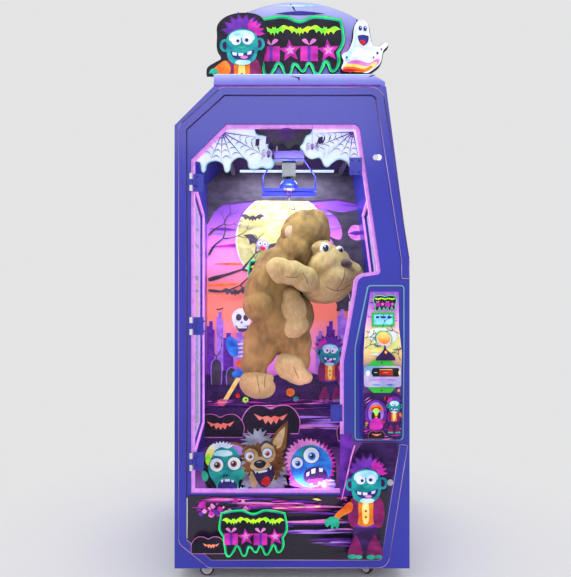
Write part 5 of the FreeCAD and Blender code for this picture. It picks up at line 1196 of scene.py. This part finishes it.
class CRANE_OT_control_art(bpy.types.Operator):
    """The control plate's print, folded with it, and the reader's and display's fields"""

    bl_idname = "crane.control_art"
    bl_label = "Control column"

    def execute(self, context):
        low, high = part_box("control_plate")
        dress("control_plate", [printed("plate_ground", [
            (0.0, (0.05, 0.01, 0.14)), (0.16, (0.14, 0.03, 0.36)), (0.36, (0.10, 0.03, 0.22)),
            (0.47, (0.30, 0.12, 0.30)),
            (0.58, (1.0, 0.66, 0.26)), (0.70, (1.0, 0.84, 0.56)), (0.80, (0.95, 0.46, 0.85)),
            (0.90, (0.66, 0.24, 0.92)),
            (1.0, (0.32, 0.08, 0.70))], "Z", low.z, high.z, 0.04, 8.0, 0.3, 0.12, (0.6, 1, 2))])
        dice = random.Random(17)
        drawing = streaks(41, 26, 316, 448, 1120, 1240, 40, 4, ["lilac", "pink", "violet"], 3)
        drawing += [("moon", oval(378, 1036, 70, 66, 16)), ("white", oval(378, 1060, 60, 34, 12)),
                    ("yellow", lens(372, 1000, 60, 12)), ("white", lens(360, 984, 44, 7))]
        for x, z, angle in ((300, 1010, 0.5), (300, 1050, 0.2), (446, 1070, 2.6), (380, 1096, 1.2),
                            (444, 960, 1.9)):
            drawing += twig(dice, "slate", x, z, angle, 26, 2.6, 3)
        drawing += [("slate", placed(BAT, 352, 1018, 0.30, -0.1)), ("slate",
                placed(BAT, 436, 1004, 0.34, 0.2)),
                    ("slate", placed(BAT, 418, 1082, 0.18, 0.3)), ("slate",
                            placed(BAT, 318, 1076, 0.2, -0.2)),
                    ("night", [(382, 1026, 1), (388, 1004, 1), (404, 990), (422, 972, 1), (422, 960, 1),
                               (340, 960, 1),
                               (344, 972, 1), (362, 990), (374, 1004, 1)]),
                    ("orange", oval(383, 994, 6, 7)), ("yellow", oval(383, 994, 3, 4)),
                    ("night", sharp([(294, 628), (452, 628), (452, 812), (420, 826), (300, 820),
                                     (294, 812)])),
                    ("violet", oval(346, 736, 46, 60, 12)), ("lilac", oval(346, 742, 32, 44, 12))]
        drawing += [("pink", lens(308, 800, 12, 3, 8)), ("pink", lens(314, 790, 14, 3, 9)),
                    ("red", oval(382, 802, 3, 9)),
                    ("red", oval(396, 802, 3, 8)), ("coral", oval(438, 836, 5, 6))]
        drawing += streaks(43, 20, 296, 450, 628, 680, 26, 3, ["magenta", "pink", "violet"], 3)
        drawing += moved([("orange", [(-26, 36), (-20, 52), (0, 60), (20, 54), (28, 36), (0, 44)]),
                          ("red", [(-20, 40), (0, 52), (20, 42), (0, 46)]), ("lime", oval(0, 26, 15, 20)),
                          ("black", [(-18, 20), (-14, -6), (-4, 6), (-12, 30)]),
                          ("black", [(18, 20), (14, -6), (4, 6), (12, 30)]), ("white", oval(-5, 31, 4)),
                          ("white", oval(6, 31, 4)), ("navy", oval(-4, 31, 1.6)),
                          ("navy", oval(6, 31, 1.6)),
                          ("red", [(-8, 18), (0, 14), (9, 19), (0, 8)]),
                          ("magenta", [(-20, -6), (0, 6), (22, -6), (24, -40),
                                                                                      (-24, -40)])],
                         346, 716, 1.0)
        drawing += moved(imp(), 420, 656, 0.58, 0.0, -1.0)
        drawing += pumpkin(348, 634, 0.66)
        drawing += [("orange", oval(306, 700, 6)), ("red", oval(376, 706, 7, 5)),
                    ("sea", oval(304, 690, 5, 3))]
        drawing += emblem(388, 1202, 0.86)
        kept = []
        for color, outline in drawing:
            kept.append((color, [(min(max(x, 295 + max(0, z - 991) * 0.145), 451), min(max(z, 628), 1245),
                                  *rest)
                                 for x, z, *rest in outline]))
        piece = print_art("control_print", 0.0, kept, "cabinet", step=0.12)
        shape = bmesh.new()
        shape.from_mesh(piece.data)
        for fold, _ in PLATE_LINE[1:3]:
            bmesh.ops.bisect_plane(shape, geom=shape.verts[:] + shape.edges[:] + shape.faces[:],
                                   plane_co=(0, 0, fold * MM), plane_no=(0, 0, 1))
        for vert in shape.verts:
            vert.co.y += plate_front(vert.co.z / MM) * MM
        shape.to_mesh(piece.data)
        shape.free()

        reader_low, reader_high = [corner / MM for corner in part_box("card_reader")]
        x0, x1, z1 = reader_low.x, reader_high.x, reader_high.z
        glass = [("black", [(x0 + 38, z1 - 44, 1), (x0 + 30, z1 - 26), (x0 + 38, z1 - 8, 1),
                            (x1 - 12, z1 - 8, 1),
                            (x1 - 6, z1 - 26), (x1 - 12, z1 - 44, 1)]),
                 ("brown", sharp([(x0 + 62, z1 - 40), (x1 - 34, z1 - 40), (x1 - 34, z1 - 12),
                                  (x0 + 62, z1 - 12)])),
                 ("red", sharp([(x0 + 66, z1 - 37), (x1 - 38, z1 - 37), (x1 - 38, z1 - 20),
                                (x0 + 66, z1 - 20)])),
                 ("tan", lens(x0 + 88, z1 - 28, 14, 2.4)), ("yellow", sharp([(x0 + 64, z1 - 16),
                         (x1 - 38, z1 - 16),
                                                                             (x1 - 38, z1 - 14),
                                                                                     (x0 + 64, z1 - 14)])),
                 ("white", sharp([(x0 + 42, z1 - 28), (x0 + 54, z1 - 28), (x0 + 54, z1 - 26),
                                  (x0 + 42, z1 - 26)])),
                 ("ice", oval(x0 + 16, z1 - 30, 9, 12)), ("white", oval(x0 + 17, z1 - 28, 5, 7)),
                 ("yellow", oval(x1 - 8, z1 - 28, 4, 10)), ("lilac", lens(x0 + 80, z1 - 58, 56, 5)),
                 ("blue", lens(x0 + 50, z1 - 78, 20, 3)), ("blue", lens(x0 + 108, z1 - 78, 20, 3))]
        print_art("reader_print", reader_low.y, glass, "cabinet")
        show_low, show_high = [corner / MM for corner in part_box("display")]
        bars = []
        for k, (start, reach) in enumerate(((6, 14), (26, 22), (54, 16), (8, 62), (8, 62))):
            base = show_high.z - (24 if k < 3 else 34 + (k - 3) * 7)
            bars.append(("navy" if k < 3 else "ice", sharp([
                (show_low.x + 11 + start, base), (show_low.x + 11 + start + reach, base),
                (show_low.x + 11 + start + reach, base + (9 if k < 3 else 2)),
                (show_low.x + 11 + start, base + (9 if k < 3 else 2))])))
        print_art("display_print", show_low.y + 1.9, bars, "cabinet", step=0.1)
        return {"FINISHED"}


# ---------------------------------------------------------------- the plush
def stuffed(name, blobs, finish, voxel=0.009):
    """A sewn, stuffed shape: overlapping rounded lumps skinned as one closed cover, with soft creases."""
    shape = bmesh.new()
    for x, y, z, rx, ry, rz, tilt in blobs:
        add_ball(shape, shift(x * MM, y * MM, z * MM, rx * MM, ry * MM, rz * MM, ("Y", math.radians(tilt))),
                 0, 28)
    mesh = bpy.data.meshes.new(name)
    shape.to_mesh(mesh)
    shape.free()
    holder = bpy.data.objects.new(name, mesh)
    bpy.context.scene.collection.objects.link(holder)
    skin = holder.modifiers.new("cover", "REMESH")
    skin.mode = "VOXEL"
    skin.voxel_size = voxel
    ease = holder.modifiers.new("ease", "SMOOTH")
    ease.factor = 0.5
    ease.iterations = 5
    bpy.context.view_layer.update()
    cover = bpy.data.meshes.new_from_object(holder.evaluated_get(bpy.context.evaluated_depsgraph_get()))
    bpy.data.objects.remove(holder)
    bpy.data.meshes.remove(mesh)
    shape = bmesh.new()
    shape.from_mesh(cover)
    bpy.data.meshes.remove(cover)
    for vert in shape.verts:
        x, y, z = vert.co / MM
        rumple = math.sin(x * 0.045 + z * 0.028) * math.sin(z * 0.061 - y * 0.03) + 0.6 * math.sin(
            x * 0.11 - z * 0.09 + y * 0.07)
        vert.co += vert.normal * rumple * 1.6 * MM
    piece = finish_piece(name, shape, [finish], "prize")
    return piece


def sewn_line(shape, cover, points, radius, material=0):
    """A thread that lies on a cover as seen from the front, through (x, z) points in millimetres."""
    tree = BVHTree.FromObject(cover, bpy.context.evaluated_depsgraph_get())
    line = []
    for x, z in points:
        hit = tree.ray_cast(Vector((x * MM, FRONT, z * MM)), Vector((0, 1, 0)))[0]
        if hit:
            line.append(hit)
    for start, end in zip(line, line[1:]):
        if (end - start).length < 0.06:
            tube_between(shape, start, end, radius * MM, material, segments=6)


class CRANE_OT_plush(bpy.types.Operator):
    """The plush bear, stuffed and sewn, hanging by its string"""

    bl_idname = "crane.plush"
    bl_label = "Plush prize"

    def execute(self, context):
        settings = look()
        brown = fur("plush_fur", tuple(settings.fur_light), tuple(settings.fur_dark), 34.0)
        tan = fur("plush_muzzle_fur", (0.74, 0.57, 0.24), (0.44, 0.29, 0.09), 90.0)
        trunk = stuffed("plush_body", [
            (84, -50, 1560, 128, 122, 128, 12), (118, -52, 1610, 88, 84, 82, -25),
            (40, -50, 1480, 112, 118, 120, 0),
            (-60, -50, 1360, 128, 130, 150, 30), (-100, -50, 1240, 120, 128, 130, 10),
            (-60, -50, 1120, 118, 120, 140, 0), (20, -50, 1150, 110, 108, 120, 0),
            (-140, -140, 1300, 76, 72, 120, 24), (-150, -146, 1200, 84, 78, 84, 0),
            (-140, -50, 1010, 96, 96, 130, 10), (-176, -60, 900, 68, 74, 110, 0),
            (26, -40, 1010, 92, 90, 110, 0), (38, -50, 930, 74, 74, 80, 0),
            (60, 40, 1290, 90, 70, 90, 0)], brown)
        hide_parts("prize_plush")
        face = stuffed("plush_muzzle", [
            (196, -66, 1400, 120, 122, 104, -8), (226, -84, 1336, 110, 112, 92, 0),
            (310, -60, 1350, 66, 78, 78, 0),
            (180, -70, 1282, 120, 104, 74, 0), (150, -76, 1486, 84, 88, 52, 12)], tan)
        arm = stuffed("plush_forearm", [
            (-52, -166, 1368, 70, 60, 66, 0), (10, -168, 1356, 72, 60, 62, 0),
            (74, -160, 1328, 66, 56, 66, 0),
            (116, -156, 1304, 34, 36, 40, 0)], tan)
        belly = stuffed("plush_belly", [
            (16, -128, 1180, 70, 52, 78, 0), (24, -122, 1098, 76, 54, 60, -14),
            (-2, -116, 1244, 60, 48, 50, 0)],
            tan)
        feet = stuffed("plush_feet", [
            (-176, -84, 812, 78, 86, 68, 0), (-150, -88, 786, 82, 88, 56, 0),
            (-100, -96, 838, 26, 26, 26, 0),
            (2, -84, 896, 78, 80, 74, 20), (40, -86, 852, 66, 74, 52, 20), (88, -80, 838, 30, 50, 30, 0)],
            tan)
        ears = stuffed("plush_ears", [
            (2, -118, 1560, 46, 26, 50, 0), (10, 50, 1580, 44, 26, 46, 0)], brown, 0.006)
        bead = coated("eye_bead", (0.012, 0.008, 0.006), 0.08, grain=60.0, drift=0.3, Coat_Weight=1.0)
        felt_and_highlight_white = coated("eye_felt_and_painted_highlight", (0.80, 0.78, 0.72), 0.85, grain=500.0, bump=0.4)
        nose = coated("nose_velvet", (0.075, 0.025, 0.014), 0.6, grain=700.0, bump=0.4, Sheen_Weight=0.6)
        pad = fur("ear_lining", (0.85, 0.62, 0.38), (0.58, 0.36, 0.18), 120.0)
        thread = coated("seam_thread", (0.10, 0.045, 0.018), 0.9, grain=800.0, bump=0.5)
        shape = bmesh.new()
        for x, y, z, size in ((170, -152, 1478, 1.0), (246, -128, 1470, 0.8)):
            add_ball(shape, shift(x * MM, y * MM, z * MM, 0.027 * size, 0.014, 0.030 * size), 1)
            add_ball(shape, shift((x + 5) * MM, (y - 11) * MM, (z - 1) * MM, 0.015 * size, 0.009,
                                  0.017 * size), 0)
            # The small white dot on the front of each bead is a painted highlight, in the eye-white finish.
            add_ball(shape, shift((x + 1) * MM, (y - 19) * MM, (z + 6) * MM, 0.0035, 0.002, 0.0035), 1, 12)
        add_ball(shape, shift(0.268, -0.150, 1.402, 0.040, 0.030, 0.026), 2)
        add_ball(shape, shift(0.004, -0.142, 1.560, 0.028, 0.008, 0.032), 3)
        for line in (((-20, 1334), (0, 1330), (20, 1330), (40, 1334)),
                     ((176, 1290), (200, 1276), (226, 1270), (252, 1274), (276, 1286), (300, 1300)),
                     ((268, 1376), (264, 1350), (256, 1320), (240, 1290), (226, 1270)),
                     ((-160, 856), (-156, 826), (-150, 796), (-146, 770)),
                     ((-120, 852), (-124, 820), (-122, 790)),
                     ((20, 900), (26, 880), (36, 858), (46, 836)),
                     ((60, 1352), (72, 1334), (80, 1314), (84, 1296))):
            for cover in (face, feet, arm):
                points = [(x, z) for x, z in smooth_line([(*line[0], 1), *line[1:-1], (*line[-1], 1),
                                                          *reversed(line[1:-1])], 3)][:len(line) * 3 - 3]
                sewn_line(shape, cover, points, 1.6, 4)
        finish_piece("plush_details", shape, [bead, felt_and_highlight_white, nose, pad, thread], "prize")

        tag = bmesh.new()
        add_flat(tag, sharp([(-14, -34), (12, -36), (14, 30), (-10, 34)]), 0, 0.8, 0)
        bmesh.ops.translate(tag, vec=(0.300, -0.150, 1.185), verts=tag.verts)
        for k in range(3):
            add_flat(tag, sharp([(292, 1196 - k * 12), (308, 1196 - k * 12), (308, 1193 - k * 12),
                                 (292, 1193 - k * 12)]), -150.4, 0, 1)
        tube_between(tag, (0.300, -0.150, 1.216), (0.292, -0.130, 1.262), 0.0012, 0, segments=6)
        finish_piece("care_tag", tag, [
            coated("tag_card", (0.80, 0.78, 0.70), 0.6, grain=300.0, bump=0.2),
            coated("tag_print", (0.15, 0.12, 0.12), 0.6, grain=300.0)], "prize", smooth=False)
        return {"FINISHED"}


# ---------------------------------------------------------------- small hardware
def screw_heads(name, places, body, finish, radius=3.6):
    """Domed screw heads, each (place, direction) in millimetres, whose cross recesses are black bars:
    painted shade.
    """
    shape = bmesh.new()
    # Material 1 is black ink for the cross recesses: painted shade.
    dark = 1
    for place, facing in places:
        turn = Vector(facing).to_track_quat("Z", "Y").to_matrix().to_4x4()
        seat = Matrix.Translation(Vector(place) * MM) @ turn
        add_ball(shape, seat @ Matrix.Diagonal((radius * MM, radius * MM, radius * 0.45 * MM, 1)), 0, 16)
        for spin in (0.0, math.pi / 2):
            bar = seat @ Matrix.Translation((0, 0, radius * 0.40 * MM)) @ Matrix.Rotation(spin + 0.4, 4,
                    "Z")
            made = bmesh.ops.create_cube(shape, size=1.0, matrix=bar @ Matrix.Diagonal(
                (radius * 1.1 * MM, radius * 0.22 * MM, radius * 0.16 * MM, 1)))
            mark(made["verts"], dark)
    return finish_piece(name, shape, [finish, ink("black")], body)


class CRANE_OT_hardware(bpy.types.Operator):
    """Screws, lock faces, trim beads and sensor lights"""

    bl_idname = "crane.hardware"
    bl_label = "Hardware"

    def execute(self, context):
        bright = coated("screw_zinc", (0.62, 0.62, 0.68), 0.3, 1.0, grain=200.0)
        blue = coated("screw_blue", (0.03, 0.035, 0.36), 0.35, grain=200.0)
        toward = (0, -1, 0)
        screws = [((x, CLAMP_FACE, z), toward) for x in (-404, -372) for z in (505, 547, 1079, 1121, 1696,
                1738)]
        screws += [((x, CLAMP_FACE, z), toward) for x, z in ((256, 1756), (286, 1756), (256, 1806),
                (286, 1806),
                                                         (172, 704), (206, 704), (172, 758), (206, 758))]
        screw_heads("clamp_screws", screws, "glass_door", blue)
        screw_heads("plate_screws", [((348, plate_front(1235) - 0.3, 1235), toward),
                                     ((438, plate_front(1235) - 0.3, 1235), toward)],
                    "cabinet", bright, 4.0)
        reader = [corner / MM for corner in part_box("reader_bracket")]
        screw_heads("bracket_screws", [((368, reader[0].y - 0.2, reader[1].z - 10), toward),
                                       ((368, reader[0].y - 0.2, reader[0].z + 10), toward)],
                    "cabinet", ink("black"), 3.2)
        for node, body in (("glass_door_lock", "glass_lock"), ("lower_door_lock", "service_lock")):
            low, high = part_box(node)
            middle = (low + high) / 2 / MM
            y = low.y / MM
            shape = bmesh.new()
            # The grey rings and the slot stand for the gaps round the plug and the keyway: painted shade on
            # flat discs.
            for level, (radius, material) in enumerate(((12.2, 0), (10.4, 1), (8.6, 0), (6.2, 1),
                                                        (5.2, 0))):
                add_flat(shape, oval(middle.x, middle.z, radius, count=16), y - 0.15 * (level + 1), 0,
                         material)
            add_flat(shape, sharp([(middle.x - 1, middle.z - 4), (middle.x + 1, middle.z - 4),
                                   (middle.x + 1, middle.z + 4), (middle.x - 1, middle.z + 4)]), y - 1.0, 0,
                                   1)
            finish_piece(node + "_face", shape, [bright, ink("grey")], body, smooth=False)

        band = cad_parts["trim_band"].data
        shape = bmesh.new()
        shape.from_mesh(band)
        bmesh.ops.remove_doubles(shape, verts=shape.verts, dist=1e-5)
        fore = min(vert.co.y for vert in shape.verts)
        bmesh.ops.delete(shape, geom=[face for face in shape.faces
                                      if any(vert.co.y > fore + 1e-5 for vert in face.verts)],
                                      context="FACES")
        loose = [vert for vert in shape.verts if not vert.link_faces]
        bmesh.ops.delete(shape, geom=loose, context="VERTS")
        bmesh.ops.dissolve_limit(shape, angle_limit=0.01, verts=shape.verts, edges=shape.edges)
        top = max(vert.co.z for vert in shape.verts)
        edges = [edge for edge in shape.edges if len(edge.link_faces) == 1]
        bead = bmesh.new()
        # Material 1 is a darker copy of the pink bead finish. It goes where the bead runs along the inner
        # line across the top: painted shade on the same metal.
        for edge in edges:
            a, b = edge.verts[0].co.copy(), edge.verts[1].co.copy()
            if (b - a).length > 1e-4:
                tube_between(bead, a, b, 0.0016,
                             1 if abs(a.x) < 0.47 and a.z > 1.9 and a.z < top - 0.03 else 0,
                             segments=8)
        shape.free()
        finish_piece("trim_beads", bead, [coated("pink_bead", (0.62, 0.40, 0.66), 0.22, 0.7, grain=120.0),
                                          coated("pink_bead_painted_shade", (0.16, 0.08, 0.14), 0.25, 0.8,
                                                 grain=120.0)],
                     "cabinet")

        lamps = bmesh.new()
        for k in range(LAMP_COUNT):
            foot = 0.44 + k * LAMP_PITCH
            add_block(lamps, (-0.425, FRONT + 0.0125, foot), (-0.4225, FRONT + 0.015, foot + 0.012), 0)
        finish_piece("lamp_strip", lamps, [ink("violet")], "cabinet", smooth=False)
        return {"FINISHED"}


class CRANE_PT_panel(bpy.types.Panel):
    """The add-on's panel, with its settings and one button for each group of pieces"""

    bl_idname = "CRANE_PT_panel"
    bl_label = "Prize Crane"
    bl_space_type = "VIEW_3D"
    bl_region_type = "UI"
    bl_category = "Prize Crane"

    def draw(self, context):
        for name in CraneLook.__annotations__:
            self.layout.prop(context.scene.crane_look, name)
        for operator in OPERATORS:
            self.layout.operator(operator.bl_idname)


OPERATORS = (CRANE_OT_studio, CRANE_OT_frame_finishes, CRANE_OT_backdrop_art, CRANE_OT_web_boards,
             CRANE_OT_topper_art, CRANE_OT_door_art, CRANE_OT_standees, CRANE_OT_control_art,
             CRANE_OT_plush,
             CRANE_OT_hardware)


def register():
    for item in (CraneLook, *OPERATORS, CRANE_PT_panel):
        bpy.utils.register_class(item)
    bpy.types.Scene.crane_look = bpy.props.PointerProperty(type=CraneLook)


def unregister():
    del bpy.types.Scene.crane_look
    for item in reversed((CraneLook, *OPERATORS, CRANE_PT_panel)):
        bpy.utils.unregister_class(item)


def main():
    register()
    bpy.ops.crane.studio()
    bpy.ops.crane.frame_finishes()
    bpy.ops.crane.backdrop_art()
    bpy.ops.crane.web_boards()
    bpy.ops.crane.topper_art()
    bpy.ops.crane.door_art()
    bpy.ops.crane.standees()
    bpy.ops.crane.control_art()
    bpy.ops.crane.plush()
    bpy.ops.crane.hardware()


if __name__ == "__main__":
    main()
